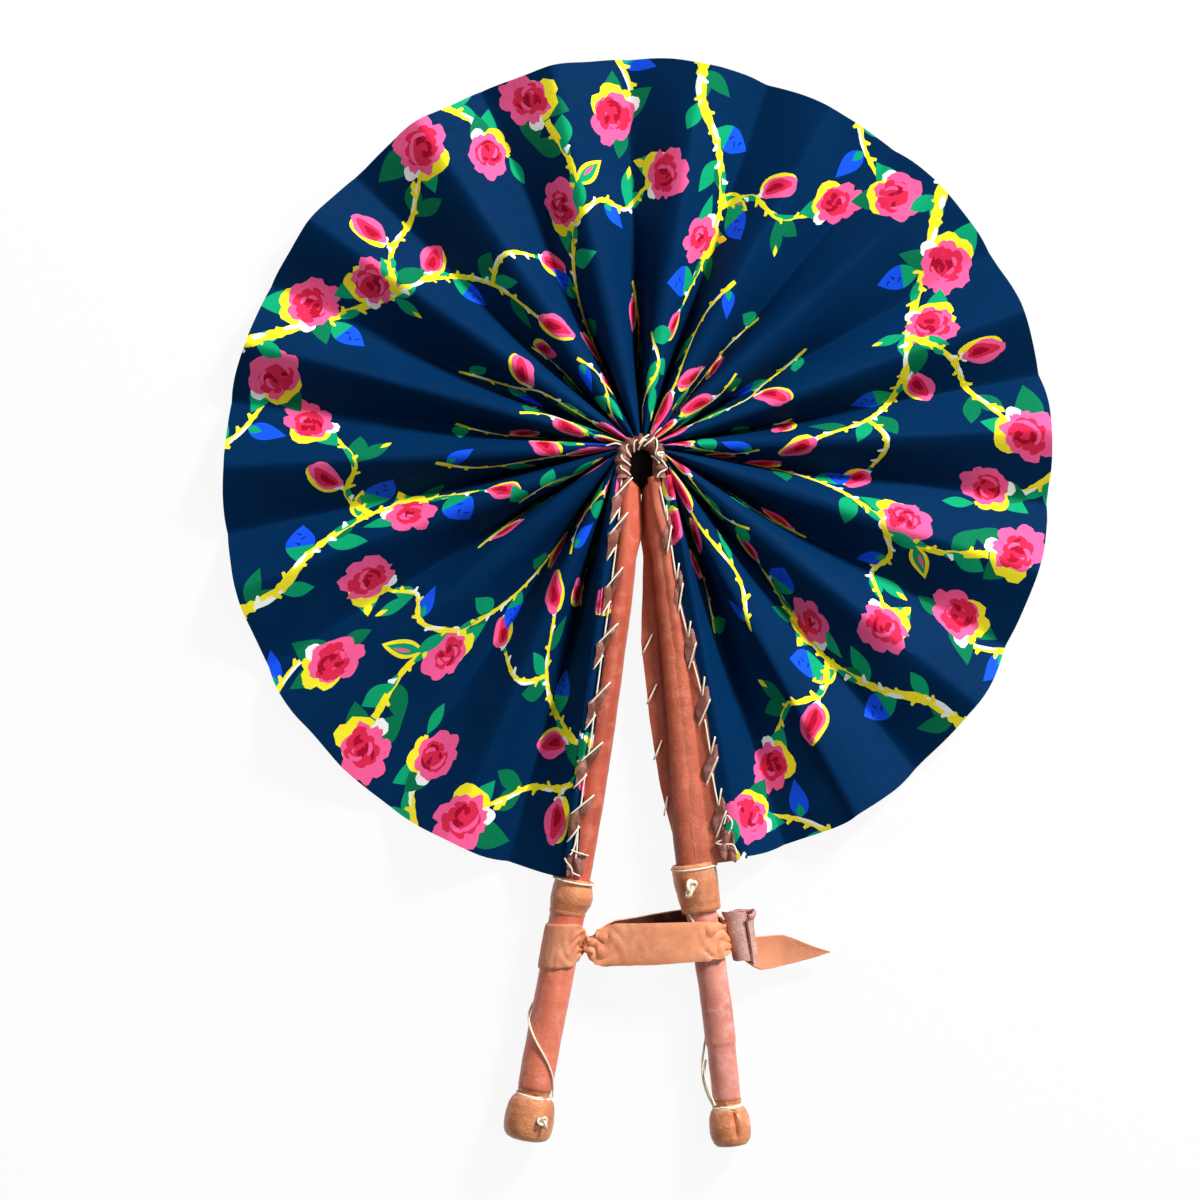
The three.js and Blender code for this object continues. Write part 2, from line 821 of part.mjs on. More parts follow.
function rightGripInStrap() {
  let nearest = null;
  for (const distance of distancesBetween(right.sleeveEnd, right.capStart, gripSamples)) {
    const point = strap.worldToLocal(placeOn(right, distance).centre);
    if (!nearest || Math.abs(point.y) < Math.abs(nearest.point.y)) {
      nearest = { point, distance };
    }
  }
  const slope = slopeInStrap(right, nearest.distance);
  return { x: nearest.point.x - slope * nearest.point.y, z: nearest.point.z, slope };
}

// How far a guard leans sideways in the strap's frame, for each millimetre along it
function slopeInStrap(guard, distance) {
  const start = strap.worldToLocal(placeOn(guard, distance).centre);
  const end = strap.worldToLocal(placeOn(guard, distance + seatGap).centre);
  return (end.x - start.x) / (end.y - start.y);
}
const rightGrip = rightGripInStrap();
const leftGripSlope = slopeInStrap(left, eyeStart + eyeWidth / 2);

function addToStrap(name, geometry, material) {
  const piece = new THREE.Mesh(geometry, material);
  piece.name = name;
  strap.add(piece);
  return piece;
}

// Outline of the loop seen along the grips: a pinched end, two runs and a round end
function loopOutline(endRadius, pinchX, pinchHalf) {
  const outline = new THREE.Path();
  outline.moveTo(pinchX, pinchHalf);
  outline.lineTo(pinchX, -pinchHalf);
  outline.absarc(rightGrip.x, rightGrip.z, endRadius, -Math.PI / 2, Math.PI / 2, false);
  outline.lineTo(pinchX, pinchHalf);
  return outline;
}

// The strap is gathered at the eye and spreads to its full width at the right grip,
// where it winds round so that its back run lies a little higher than the front one
function spreadLoop(geometry, pinchX, outerRadius) {
  const place = geometry.attributes.position;
  for (let i = 0; i < place.count; i += 1) {
    const share = THREE.MathUtils.smoothstep(place.getX(i) - pinchX, 0, loopSpreadLength);
    const down = (rightGrip.z + outerRadius - place.getZ(i)) / (2 * outerRadius);
    const rise = loopBackRise * down * share;
    const y = place.getY(i) * mix(loopPinchShare, 1, share) + rise;
    place.setY(i, y);
    place.setX(i, place.getX(i) + y * mix(leftGripSlope, rightGrip.slope, share));
  }
  return geometry;
}

function loopGeometry() {
  const boreRadius = right.gripRadius + loopClearance;
  const pinchX = eyeRadius + seatGap;
  const outerRadius = boreRadius + strapThickness;
  const outer = loopOutline(outerRadius, pinchX, loopPinchHalfHeight);
  const innerHalf = loopPinchHalfHeight - strapThickness;
  const shape = new THREE.Shape(outer.getPoints(ringPoints));
  const bore = loopOutline(boreRadius, pinchX + loopPinchLength, innerHalf);
  shape.holes.push(new THREE.Path(bore.getPoints(ringPoints)));
  const geometry = new THREE.ExtrudeGeometry(shape, {
    depth: strapWidth,
    steps: loopSteps,
    bevelEnabled: false,
  });
  geometry.translate(0, 0, -strapWidth / 2);
  geometry.rotateX(Math.PI / 2);
  return spreadLoop(geometry, pinchX, outerRadius);
}
addToStrap("strap_loop", loopGeometry(), finishes.paleLeather);

// Keeper: the strap's end rolled up into a toggle
function keeperOutline() {
  const outer = [];
  const inner = [];
  for (let i = 0; i <= keeperSteps; i += 1) {
    const angle = (i / keeperSteps) * keeperTurns * 2 * Math.PI;
    const radius = keeperCoreRadius + (keeperPitch * angle) / (2 * Math.PI);
    const out = new THREE.Vector2(Math.cos(angle), Math.sin(angle));
    inner.push(out.clone().multiplyScalar(radius));
    outer.push(out.clone().multiplyScalar(radius + strapThickness));
  }
  return new THREE.Shape([...outer, ...inner.reverse()]);
}

// How far the rolled leather reaches from the middle of the roll after some turns
function keeperReach(turns) {
  return keeperCoreRadius + keeperPitch * turns + strapThickness;
}
const loopEnd = rightGrip.x + right.gripRadius + loopClearance + strapThickness;
const keeperX = loopEnd + seatGap + keeperReach(keeperLoopSideTurns);
const keeperGeometry = new THREE.ExtrudeGeometry(keeperOutline(), {
  depth: keeperWidth,
  bevelEnabled: false,
});
keeperGeometry.translate(0, 0, -keeperWidth / 2);
keeperGeometry.rotateX(Math.PI / 2);
const keeper = addToStrap("strap_keeper", keeperGeometry, finishes.fleshLeather);
keeper.position.set(keeperX + rightGrip.slope * keeperRise, keeperRise, 0);
keeper.rotation.z = -Math.atan(rightGrip.slope);

// Tail: the flat pointed end of the strap, drooping to the table
function tailGeometry() {
  const top = [];
  const bottom = [];
  const start = keeperX + keeperReach(keeperTailSideTurns) + seatGap;
  for (const [along, upper, lower] of tailRowShares) {
    const x = start + along * tailLength;
    const drop = tailDrop * THREE.MathUtils.smoothstep(along, 0, tailDropShare);
    const z = tailTipRise * along - drop;
    const row = tailColumnShares.map((share) => {
      const y = tailWidth * mix(lower, upper, share);
      return new THREE.Vector3(x + rightGrip.slope * y, y, z);
    });
    top.push(row);
    bottom.push(row.map((point) => point.clone().setZ(z - tailThickness)));
  }
  return plateBetween(top, bottom);
}
addToStrap("strap_tail", tailGeometry(), finishes.paleLeather);

// The origin is the middle of the outline, on the table
fan.updateMatrixWorld(true);
const outline = new THREE.Box3().setFromObject(fan, true);
const middle = outline.getCenter(new THREE.Vector3());
fan.position.set(-middle.x, -middle.y, -outline.min.z);

export default fan;
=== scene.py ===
"""The looks of a leather folding fan: a leaf of printed cotton pleated round a leather hub."""

import json
import math
import random

import bpy
import numpy as np
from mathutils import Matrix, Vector, noise
from mathutils.geometry import delaunay_2d_cdt


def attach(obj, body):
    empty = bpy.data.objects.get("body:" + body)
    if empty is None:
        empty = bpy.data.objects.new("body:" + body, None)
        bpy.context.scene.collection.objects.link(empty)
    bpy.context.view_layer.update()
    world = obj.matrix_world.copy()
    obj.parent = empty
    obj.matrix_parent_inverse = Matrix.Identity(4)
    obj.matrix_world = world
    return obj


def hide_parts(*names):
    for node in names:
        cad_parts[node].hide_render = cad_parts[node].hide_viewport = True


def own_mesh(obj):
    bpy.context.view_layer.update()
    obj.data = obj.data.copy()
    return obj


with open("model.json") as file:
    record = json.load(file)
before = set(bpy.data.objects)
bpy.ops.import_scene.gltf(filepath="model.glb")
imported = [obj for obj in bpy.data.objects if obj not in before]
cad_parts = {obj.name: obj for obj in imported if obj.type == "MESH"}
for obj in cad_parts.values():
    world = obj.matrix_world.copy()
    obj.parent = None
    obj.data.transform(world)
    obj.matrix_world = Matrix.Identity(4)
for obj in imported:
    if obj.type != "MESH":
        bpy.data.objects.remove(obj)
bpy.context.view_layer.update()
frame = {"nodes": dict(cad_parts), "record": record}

# Lengths in this script are millimetres in the frame's axes, and meshes are made in metres
MM = 0.001
PER_METRE = 1000
HUB = np.array([1.766, 60.349])
MID_HEIGHT = 10.0

# Leaf
LEAF_RADIUS = 164.0
LEAF_CENTRE = np.array([-1.5, -7.0])
LEFT_DEGREES, RIGHT_DEGREES = 10.0, 346.0
DEPTH_AT_HUB, DEPTH_AT_RIM = 20.0, 13.5
CLOTH_THICKNESS = 0.3
CLOTH_LENGTH = 155.0
CREASE_SHARES = [
    0, 0.024, 0.048, 0.077, 0.125, 0.149, 0.182, 0.205, 0.232, 0.259, 0.284, 0.31,
    0.342, 0.369, 0.405, 0.435, 0.467, 0.5, 0.533, 0.5625, 0.592, 0.625, 0.649,
    0.685, 0.714, 0.741, 0.765, 0.795, 0.824, 0.857, 0.884, 0.92, 0.946, 0.982, 1,
]
LAST = len(CREASE_SHARES) - 1

# Hub arch
ARCH_Y = -3.6
ARCH_RADIUS, ARCH_HOLE = 10.8, 4.6
ARCH_FOOT_DROP = 4.3
ARCH_FOOT_DEGREES = 68.0
SEAT = 0.3


def smooth(x, low=0.0, high=1.0):
    """0 below low, 1 above high, and smooth between them."""
    share = np.clip((np.asarray(x, float) - low) / (high - low), 0, 1)
    return share * share * (3 - 2 * share)


def along_rows(rows, x):
    """A value that runs smoothly through rows of (x, value)."""
    xs, values = zip(*rows)
    return np.interp(x, xs, values)


def bump(x, middle, width):
    """1 at the middle, dying away smoothly over the width on both sides of it."""
    return np.exp(-(((x - middle) / width) ** 2))


def unit(vectors):
    """The same directions, each one long."""
    vectors = np.asarray(vectors, float)
    return vectors / np.maximum(np.linalg.norm(vectors, axis=-1, keepdims=True), 1e-12)


def ripple(points, size, seed=0.0):
    """Smooth noise from -1 to 1 at each point, with features about size millimetres wide."""
    flat = np.asarray(points, float).reshape(-1, 3) / size + seed
    values = [noise.noise(Vector(p)) for p in flat]
    return np.array(values).reshape(np.asarray(points).shape[:-1])


# Colours, written as they look on a screen
def shade(code):
    """A screen colour such as 0c8a5c as the linear colour that Blender uses."""
    parts = [int(code[i : i + 2], 16) / 255 for i in (0, 2, 4)]
    linear = [p / 12.92 if p <= 0.04045 else ((p + 0.055) / 1.055) ** 2.4 for p in parts]
    return (*linear, 1.0)


PRINT_COLOURS = {
    "navy": shade("00264c"),
    "pink": shade("f25c94"),
    "rose": shade("d8284c"),
    "crimson": shade("a30d2a"),
    "yellow": shade("f4e62a"),
    "white": shade("eef3f0"),
    "green": shade("0c9a68"),
    "deep_green": shade("087049"),
    "blue": shade("1450e6"),
    "deep_blue": shade("0b2a94"),
}


# Materials
class Term:
    """A number that a material works out at each point, with the usual signs of sums."""

    def __init__(self, finish, socket):
        self.finish, self.socket = finish, socket

    def sum(self, operation, *values):
        node = self.finish.node("ShaderNodeMath", {"operation": operation}, *values)
        return Term(self.finish, node.outputs[0])

    def __add__(self, other):
        return self.sum("ADD", self, other)

    def __sub__(self, other):
        return self.sum("SUBTRACT", self, other)

    def __rsub__(self, other):
        return self.sum("SUBTRACT", other, self)

    def __mul__(self, other):
        return self.sum("MULTIPLY", self, other)

    __radd__ = __add__
    __rmul__ = __mul__

    def between(self, low, high):
        """0 below low and 1 above high, smooth between them."""
        settings = {"interpolation_type": "SMOOTHSTEP"}
        node = self.finish.node("ShaderNodeMapRange", settings, self, low, high)
        return Term(self.finish, node.outputs[0])


class Finish:
    """A material of this object, and the nodes that make it."""

    def __init__(self, name, surface=None):
        self.material = bpy.data.materials.new(name)
        self.material.use_nodes = True
        self.tree = self.material.node_tree
        self.shader = self.tree.nodes["Principled BSDF"]
        for socket, value in (surface or {}).items():
            self.shader.inputs[socket].default_value = value

    def put(self, socket, value):
        if isinstance(value, Term):
            value = value.socket
        if isinstance(value, bpy.types.NodeSocket):
            self.tree.links.new(value, socket)
        else:
            socket.default_value = value

    def node(self, kind, settings=None, *values, **named):
        made = self.tree.nodes.new(kind)
        for key, value in (settings or {}).items():
            setattr(made, key, value)
        for i, value in enumerate(values):
            self.put(made.inputs[i], value)
        for key, value in named.items():
            self.put(made.inputs[key], value)
        return made

    def place(self):
        return self.node("ShaderNodeTexCoord").outputs["Object"]

    def stretched(self, place, scale):
        return self.node("ShaderNodeMapping", None, place, Scale=scale).outputs[0]

    def cloudy(self, place, size, detail=3.0, roughness=0.55):
        """Noise with features about size millimetres wide."""
        node = self.node("ShaderNodeTexNoise", None, Vector=place, Scale=PER_METRE / size,
                         Detail=detail, Roughness=roughness)
        return Term(self, node.outputs[0])

    def cells(self, place, size):
        """Distance from the edges of cells about size millimetres wide."""
        settings = {"feature": "DISTANCE_TO_EDGE"}
        node = self.node("ShaderNodeTexVoronoi", settings, Vector=place, Scale=PER_METRE / size)
        return Term(self, node.outputs[0])

    def blend(self, share, first, second, kind="MIX"):
        node = self.node("ShaderNodeMix", {"data_type": "RGBA", "blend_type": kind})
        self.put(node.inputs[0], share)
        self.put(node.inputs[6], first)
        self.put(node.inputs[7], second)
        return node.outputs[2]

    def colour(self, value):
        self.put(self.shader.inputs["Base Color"], value)

    def rough(self, value):
        self.put(self.shader.inputs["Roughness"], value)

    def raised(self, height, depth):
        """Bump that stands depth millimetres high where the height is 1."""
        node = self.node("ShaderNodeBump", None, Strength=1.0, Distance=depth * MM, Height=height)
        self.put(self.shader.inputs["Normal"], node.outputs[0])


def leather(name, dark, middle, light, shine=0.45, grain=0.12, marks="3a1c14", wear=0.35):
    """Smooth hide: mottled colour, fine grain, scuffs, a few dark marks, and painted shade where a piece
    carries it.
    """
    finish = Finish(name, {"Specular IOR Level": 0.42})
    place = finish.place()
    broad = finish.cloudy(place, 26, 3)
    mottled = finish.cloudy(place, 5.5, 5, 0.62)
    streaks = finish.cloudy(finish.stretched(place, (1.0, 0.16, 1.0)), 3.4, 4, 0.6)
    colour = finish.blend(broad.between(0.36, 0.66), shade(dark), shade(middle))
    colour = finish.blend(mottled.between(0.47, 0.74) * 0.7, colour, shade(light))
    colour = finish.blend(streaks.between(0.52, 0.8) * wear, colour, shade(dark))
    spots = finish.cloudy(place, 2.6, 4, 0.7).between(0.69, 0.78)
    stains = finish.cloudy(place, 11, 2).between(0.45, 0.62)
    colour = finish.blend(spots * stains * 0.75, colour, shade(marks))
    # Painted shade: each point's own share of it darkens the leather where shade falls there.
    painted_shade_layer = finish.node("ShaderNodeAttribute", {"attribute_name": "painted_shade"})
    painted_shade_share = Term(finish, painted_shade_layer.outputs["Fac"])
    finish.colour(finish.blend(painted_shade_share * 0.9, colour, shade("5e1a0a")))
    pores = finish.cells(place, 0.75)
    creases = finish.cells(place, 2.8)
    fine = finish.cloudy(place, 0.5, 3, 0.6)
    finish.rough(shine + mottled * 0.22 - 0.08 + (1 - pores.between(0.0, 0.12)) * 0.08)
    height = pores.between(0.0, 0.16) * 0.35 + creases.between(0.0, 0.07) * 0.3
    finish.raised(height + fine * 0.35 + mottled * 0.6, grain)
    return finish.material


YARNS = 400.0


def printed_cotton():
    """Cotton with its print in the mesh's own colours, a fine weave and soft fading."""
    finish = Finish("printed_cotton", {"Specular IOR Level": 0.03})
    settings = {"attribute_name": "print", "attribute_type": "GEOMETRY"}
    ink = finish.node("ShaderNodeAttribute", settings).outputs["Color"]
    flat = finish.node("ShaderNodeUVMap", {"uv_map": "cloth"}).outputs[0]
    patchy = finish.cloudy(finish.place(), 34, 4)
    worn = finish.cloudy(finish.place(), 2.4, 3)
    yarns = [finish.node("ShaderNodeTexWave", {"bands_direction": way}, Vector=flat,
                         Scale=YARNS, Distortion=0.5, Detail=1.0).outputs["Fac"] for way in "XY"]
    weave = Term(finish, yarns[0]) + yarns[1]
    paler = finish.blend(patchy.between(0.4, 0.72) * 0.05, ink, shade("0c3c6c"), "SCREEN")
    faded = finish.blend(worn.between(0.5, 0.8) * 0.10, paler, shade("05101e"), "MULTIPLY")
    finish.colour(faded)
    finish.rough(0.58 + worn * 0.2)
    finish.raised(weave * 0.5 + worn * 0.5, 0.05)
    return finish.material


def waxed_thread():
    """Cream linen thread, a little dirty."""
    finish = Finish("waxed_thread")
    place = finish.place()
    dirt = finish.cloudy(place, 4, 4, 0.6)
    ply = finish.cloudy(place, 0.6, 2)
    finish.colour(finish.blend(dirt.between(0.5, 0.8) * 0.5, shade("f1e6cc"), shade("c39a6c")))
    finish.rough(0.6 + ply * 0.2)
    finish.raised(ply, 0.15)
    return finish.material


def split_cane():
    """Plain wood with long fibres."""
    finish = Finish("stick_wood", {"Roughness": 0.6})
    place = finish.place()
    fibre = finish.cloudy(finish.stretched(place, (1.0, 0.05, 1.0)), 1.2, 4)
    finish.colour(finish.blend(fibre, shade("8a6238"), shade("cfa46c")))
    finish.raised(fibre, 0.1)
    return finish.material


CLOTH = printed_cotton()
RED = leather("red_leather", "b04e38", "c85d43", "d97c64", 0.38, 0.1, "7a3020", 0.25)
BROWN_GUARD = leather("brown_guard_leather", "a54c34", "c06044", "d07f64", 0.40, 0.14)
BINDING = leather("binding_leather", "74402f", "965a4e", "c4928a", 0.46, 0.2, "2e1510", 0.5)
TAN = leather("tan_leather", "c07048", "e09162", "f0b488", 0.24, 0.18, "6a3018", 0.4)
GRIP = leather("grip_leather", "cc664c", "e47e62", "f0a088", 0.32, 0.12, "5c2c24", 0.3)
PINK_GRIP = leather("pink_grip_leather", "c87462", "de9080", "f0b8ac", 0.30, 0.12, "6c342c", 0.3)
PALE = leather("pale_leather", "e28e64", "ee9b70", "f6b28c", 0.55, 0.08, "b06c48", 0.2)
# Painted shade: a darker copy of the pale leather, for the strap's eye and tail.
PALE_PAINTED_SHADE = leather("pale_leather_painted_shade", "cd7f5a", "d98c66", "e3a27e", 0.55, 0.08, "a06040", 0.25)
FLESH = leather("flesh_leather", "ac7c70", "cf9e90", "e8c0b2", 0.85, 0.35, "5a352c", 0.7)
# Painted shade: the dark leather of the strap loop's inner face, which lies in shadow.
SHADED = leather("strap_inside_painted_shade", "4a261a", "6e3c2a", "95604a", 0.8, 0.3, "2a140e", 0.6)
# Painted shade: nearly black, for the lining deep in the arch's hole.
DARK = leather("hole_painted_shade_leather", "0c0605", "140a08", "241410", 0.7, 0.2, "050303", 0.5)
THREAD = waxed_thread()
CANE = split_cane()


# Meshes
SHARP_DEGREES = 50


def placed(name, data):
    """A new object of this data, in the scene."""
    made = bpy.data.objects.new(name, data)
    bpy.context.scene.collection.objects.link(made)
    return made


def in_metres(points):
    return [tuple(float(c) * MM for c in p) for p in points]


def mesh_piece(name, points, faces, material, body, slot, *nodes):
    """A piece made of points in millimetres, which rides on a body and stands for CAD nodes."""
    mesh = bpy.data.meshes.new(name)
    mesh.from_pydata(in_metres(points), [], faces)
    mesh.validate()
    mesh.shade_smooth()
    mesh.set_sharp_from_angle(angle=math.radians(SHARP_DEGREES))
    mesh.materials.append(material)
    return seat_piece(placed(name, mesh), body, slot, *nodes)


def seat_piece(piece, body, slot, *nodes):
    """The piece rides on its body and stands for its CAD nodes. The slot is not used."""
    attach(piece, body)
    if nodes:
        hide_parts(*nodes)
    return piece


def strips(rows, columns, start=0, closed=False, flip=False):
    """Faces of a grid of points stored row by row."""
    faces = []
    for r in range(rows - 1):
        for c in range(columns if closed else columns - 1):
            a, b = start + r * columns + c, start + r * columns + (c + 1) % columns
            face = (a, b, b + columns, a + columns)
            faces.append(face[::-1] if flip else face)
    return faces


def turned_out(points, faces):
    """The faces, turned so that a closed surface looks outwards."""
    points = np.asarray(points, float)
    volume = 0.0
    for face in faces:
        a = points[face[0]]
        for b, c in zip(face[1:-1], face[2:]):
            volume += a @ np.cross(points[b], points[c])
    return faces if volume > 0 else [face[::-1] for face in faces]


def ring_solid(name, rows, *seat):
    """A solid through rings of points, closed with a point in the middle of each end."""
    rows = np.asarray(rows, float)
    count, size = rows.shape[:2]
    points = [*rows.reshape(-1, 3), rows[0].mean(0), rows[-1].mean(0)]
    faces = strips(count, size, closed=True)
    first, last = count * size, count * size + 1
    for c in range(size):
        d = (c + 1) % size
        faces.append((d, c, first))
        faces.append(((count - 1) * size + c, (count - 1) * size + d, last))
    return mesh_piece(name, points, turned_out(points, faces), *seat)


def hollow_tube(name, rows, wall, *seat):
    """A tube of leather from its outer rings, with its wall and softly rounded lips."""
    rows = np.asarray(rows, float)
    centres = rows.mean(1, keepdims=True)
    out = rows - centres
    deep = np.minimum(wall, 0.5 * np.linalg.norm(out, axis=-1, keepdims=True))
    out = unit(out)
    lip = wall * 0.35
    inner = rows - out * deep
    outer = rows.copy()
    outer[0], outer[-1] = rows[0] - out[0] * lip, rows[-1] - out[-1] * lip
    loop = np.concatenate([outer, inner[::-1]])
    count, size = loop.shape[:2]
    faces = strips(count, size, closed=True)
    for c in range(size):
        d = (c + 1) % size
        faces.append(((count - 1) * size + c, (count - 1) * size + d, d, c))
    points = loop.reshape(-1, 3)
    return mesh_piece(name, points, turned_out(points, faces), *seat)


def lifted(grid, heights):
    """The grid with each point raised by its own height."""
    return grid + np.array([0, 0, 1.0]) * np.asarray(heights)[..., None]


def grid_normals(grid):
    down = np.gradient(grid, axis=0)
    across = np.gradient(grid, axis=1)
    return unit(np.cross(across, down) + 1e-12)


def sheet_solid(name, grid, thickness, *seat, inside=None):
    """A thin closed piece between a grid of points and the same grid set back."""
    grid = np.asarray(grid, float)
    back = grid - grid_normals(grid) * thickness
    count, size = grid.shape[:2]
    shift = count * size
    faces = strips(count, size) + strips(count, size, shift, flip=True)
    edge = [*range(size), *range(2 * size - 1, shift, size)]
    edge += [*range(shift - 2, shift - size - 1, -1), *range(shift - 2 * size, 0, -size)]
    for a, b in zip(edge, edge[1:] + edge[:1]):
        faces.append((b, a, a + shift, b + shift))
    points = np.concatenate([grid.reshape(-1, 3), back.reshape(-1, 3)])
    piece = mesh_piece(name, points, turned_out(points, faces), *seat)
    if inside:
        piece.data.materials.append(inside)
        deep = [int(max(face.vertices) < shift) for face in piece.data.polygons]
        piece.data.polygons.foreach_set("material_index", deep)
    return piece


# Leaf
def leaf_direction(degrees):
    """The way out from the hub, clockwise from straight down."""
    angle = np.radians(degrees)
    return np.stack([-np.sin(angle), -np.cos(angle)], -1)


def crease_ends():
    """Both ends of each crease, seen from above, in the frame's axes."""
    shares = np.array(CREASE_SHARES)
    out = leaf_direction(LEFT_DEGREES + (RIGHT_DEGREES - LEFT_DEGREES) * shares)
    middle = out @ LEAF_CENTRE
    reach = middle + np.sqrt(LEAF_RADIUS**2 - LEAF_CENTRE @ LEAF_CENTRE + middle**2)
    fan = ARCH_FOOT_DEGREES + (360 - 2 * ARCH_FOOT_DEGREES) * shares
    inner = leaf_direction(fan) * (ARCH_RADIUS + SEAT) + [0, ARCH_Y]
    return HUB + inner, HUB + out * reach[:, None]


INNER, OUTER = crease_ends()


def half_depth(share):
    eased = 1 - (1 - share) ** 2
    return (DEPTH_AT_HUB + (DEPTH_AT_RIM - DEPTH_AT_HUB) * eased) / 2


def crease_at(number, share):
    share = np.asarray(share, float)[..., None]
    return INNER[number] + (OUTER[number] - INNER[number]) * share


# The crease whose cloth is folded over a little, and how far the inner ends go into the arch
FOLDED_OVER = 32
TUCK = 1.4
# How much further than its even round the cloth reaches at the rim, from the left end to the right
RIM_REACH = [
    (0.0, 1.6), (0.04, 2.4), (0.07, 4.4), (0.1, 5.1), (0.13, 4.3), (0.16, 3.9), (0.2, 2.7),
    (0.25, 1.3), (0.28, 0.9), (0.32, 0.4), (0.34, 0.8), (0.375, -1.2), (0.4, 0.1), (0.45, 0.4),
    (0.51, 0.9), (0.54, 0.5), (0.56, -0.6), (0.58, 0), (0.63, 1.2), (0.66, 2.4), (0.71, 3.5),
    (0.74, 2.1), (0.78, 2.3), (0.82, 0.9), (0.86, 1.3), (0.92, 1.0), (0.95, 0), (0.97, -0.9), (1, -2.9),
]


def leaf_points(ridge, across, share):
    """Points of the pleat at a ridge: across runs from -1 to 1, valley to ridge to valley."""
    across, share = np.asarray(across, float), np.asarray(share, float)
    left, right = max(ridge - 1, 0), min(ridge + 1, LAST)
    turn = np.interp(across, [-1, 0, 1], [CREASE_SHARES[i] for i in (left, ridge, right)])
    wave = ripple(np.stack([turn * 46, 0 * turn, 0 * turn + 3.7], -1), 1.0)
    bowed = 0.9 * (1 - (2 * np.abs(across) - 1) ** 2) - 0.5
    reach = bowed + 1.3 * wave + along_rows(RIM_REACH, turn)
    share = share + reach / CLOTH_LENGTH * smooth(share, 0.6, 1.0)
    share = share - TUCK / CLOTH_LENGTH * (1 - smooth(share, 0.0, 0.03))
    top = crease_at(ridge, share)
    foot = np.where((across < 0)[..., None], crease_at(left, share), crease_at(right, share))
    tight = np.exp(-4.2 * np.clip(share, 0, 1))
    side = np.abs(across)
    spread = side + tight * (1 - (1 - side) ** 7 - side)
    plan = top + (foot - top) * spread[..., None]
    crisp = 0.86 + 0.13 * smooth(share, 0.0, 0.6)
    level = 0.5 + 0.5 * np.arcsin(crisp * np.cos(np.pi * across)) / np.arcsin(crisp)
    rounder = 1 + 0.8 * np.exp(-4.5 * np.clip(share, 0, 1))
    height = 1 - 2 * np.clip(1 - level, 0, 1) ** rounder
    height = height + tight * (1 - 2 * side**1.25 - height)
    if ridge == FOLDED_OVER:
        lip = bump(across, 0, 0.16) * smooth(share, 0.05, 0.3)
        way = unit(crease_at(right, 1.0) - crease_at(ridge, 1.0))
        plan = plan + way * (lip * (1.2 + 2.6 * share))[..., None]
    level = MID_HEIGHT + half_depth(np.clip(share, 0, 1)) * height
    points = np.concatenate([plan, level[..., None]], -1)
    loose = smooth(share, 0.12, 0.8)
    points[..., 2] += loose * (1.1 * ripple(points, 38) + 0.45 * ripple(points, 14, 7.3))
    return points


def flat_places():
    """Where each crease lies along the flat strip of cloth."""
    gaps = np.linalg.norm(np.diff(crease_at(slice(None), 0.85), axis=0), axis=1)
    widths = np.hypot(gaps, 2 * half_depth(0.85))
    return np.concatenate([[0], np.cumsum(widths)])


FLAT = flat_places()


# Print: flowers, leaves and thorny branches, drawn on the flat strip
def blob(x, y, size, lobes, depth, rng, count, squeeze=1.0, turn=0.0):
    """A softly uneven round of count points."""
    angles = np.linspace(0, 2 * np.pi, count, endpoint=False)
    waves = depth * np.sin(lobes * angles + rng.uniform(0, 6.3))
    waves += 0.6 * depth * np.sin(2 * angles + rng.uniform(0, 6.3))
    waves += np.array([rng.uniform(-0.4, 0.4) * depth for _ in angles])
    radius = size * (1 + waves)
    shape = np.stack([radius * np.cos(angles), radius * squeeze * np.sin(angles)], -1)
    return turned(shape, turn) + [x, y]


def petals(x, y, size, count, rng, squeeze=1.0, turn=0.0, deep=0.16):
    """An uneven outline of petals with notches between them."""
    widths = np.cumsum([rng.uniform(0.6, 1.4) for _ in range(count)])
    ends = widths / widths[-1] * 2 * np.pi
    shape, start = [], 0.0
    for end in ends:
        tip, dip = rng.uniform(0.94, 1.1), 1 - deep * rng.uniform(0.5, 1.3)
        lean = rng.uniform(0.6, 1.5)
        for f in np.linspace(0, 1, 7)[:-1]:
            radius = dip + (tip - dip) * math.sin(math.pi * f**lean) ** 0.7
            radius = size * (radius + rng.uniform(-0.06, 0.05))
            angle = start + (end - start) * f
            shape.append((radius * math.cos(angle), radius * squeeze * math.sin(angle)))
        start = end
    return turned(shape, turn) + [x, y]


def turned(shape, degrees):
    """Flat points turned about the origin."""
    c, s = math.cos(math.radians(degrees)), math.sin(math.radians(degrees))
    return np.asarray(shape, float) @ np.array([[c, s], [-s, c]])


def stroke(path, widths):
    """A brush stroke: the outline round a path, with a width at each of its points."""
    path = np.asarray(path, float)
    run = unit(np.gradient(path, axis=0))
    side = np.stack([-run[:, 1], run[:, 0]], -1) * np.asarray(widths, float)[:, None] / 2
    return np.concatenate([path + side, (path - side)[::-1]])


def curve_through(points, step):
    """Even points on a smooth curve through the given ones."""
    points = np.asarray(points, float)
    ends = [2 * points[0] - points[1], *points, 2 * points[-1] - points[-2]]
    found = []
    for a, b, c, d in zip(ends, ends[1:], ends[2:], ends[3:]):
        count = max(3, int(np.linalg.norm(c - b) / step))
        for f in np.linspace(0, 1, count, endpoint=False):
            found.append(0.5 * (2 * b + (c - a) * f + (2 * a - 5 * b + 4 * c - d) * f * f
                                + (3 * b - a - 3 * c + d) * f**3))
    return np.array([*found, points[-1]])


def pod(length, plump, fullest=0.85):
    """A pointed shape from the origin along X."""
    share = np.linspace(0, 1, 13)
    belly = plump * length * np.sin(np.pi * share**fullest) * 0.5
    side = np.stack([share * length, belly], -1)
    return np.concatenate([side, (side * [1, -1])[::-1][1:-1]])


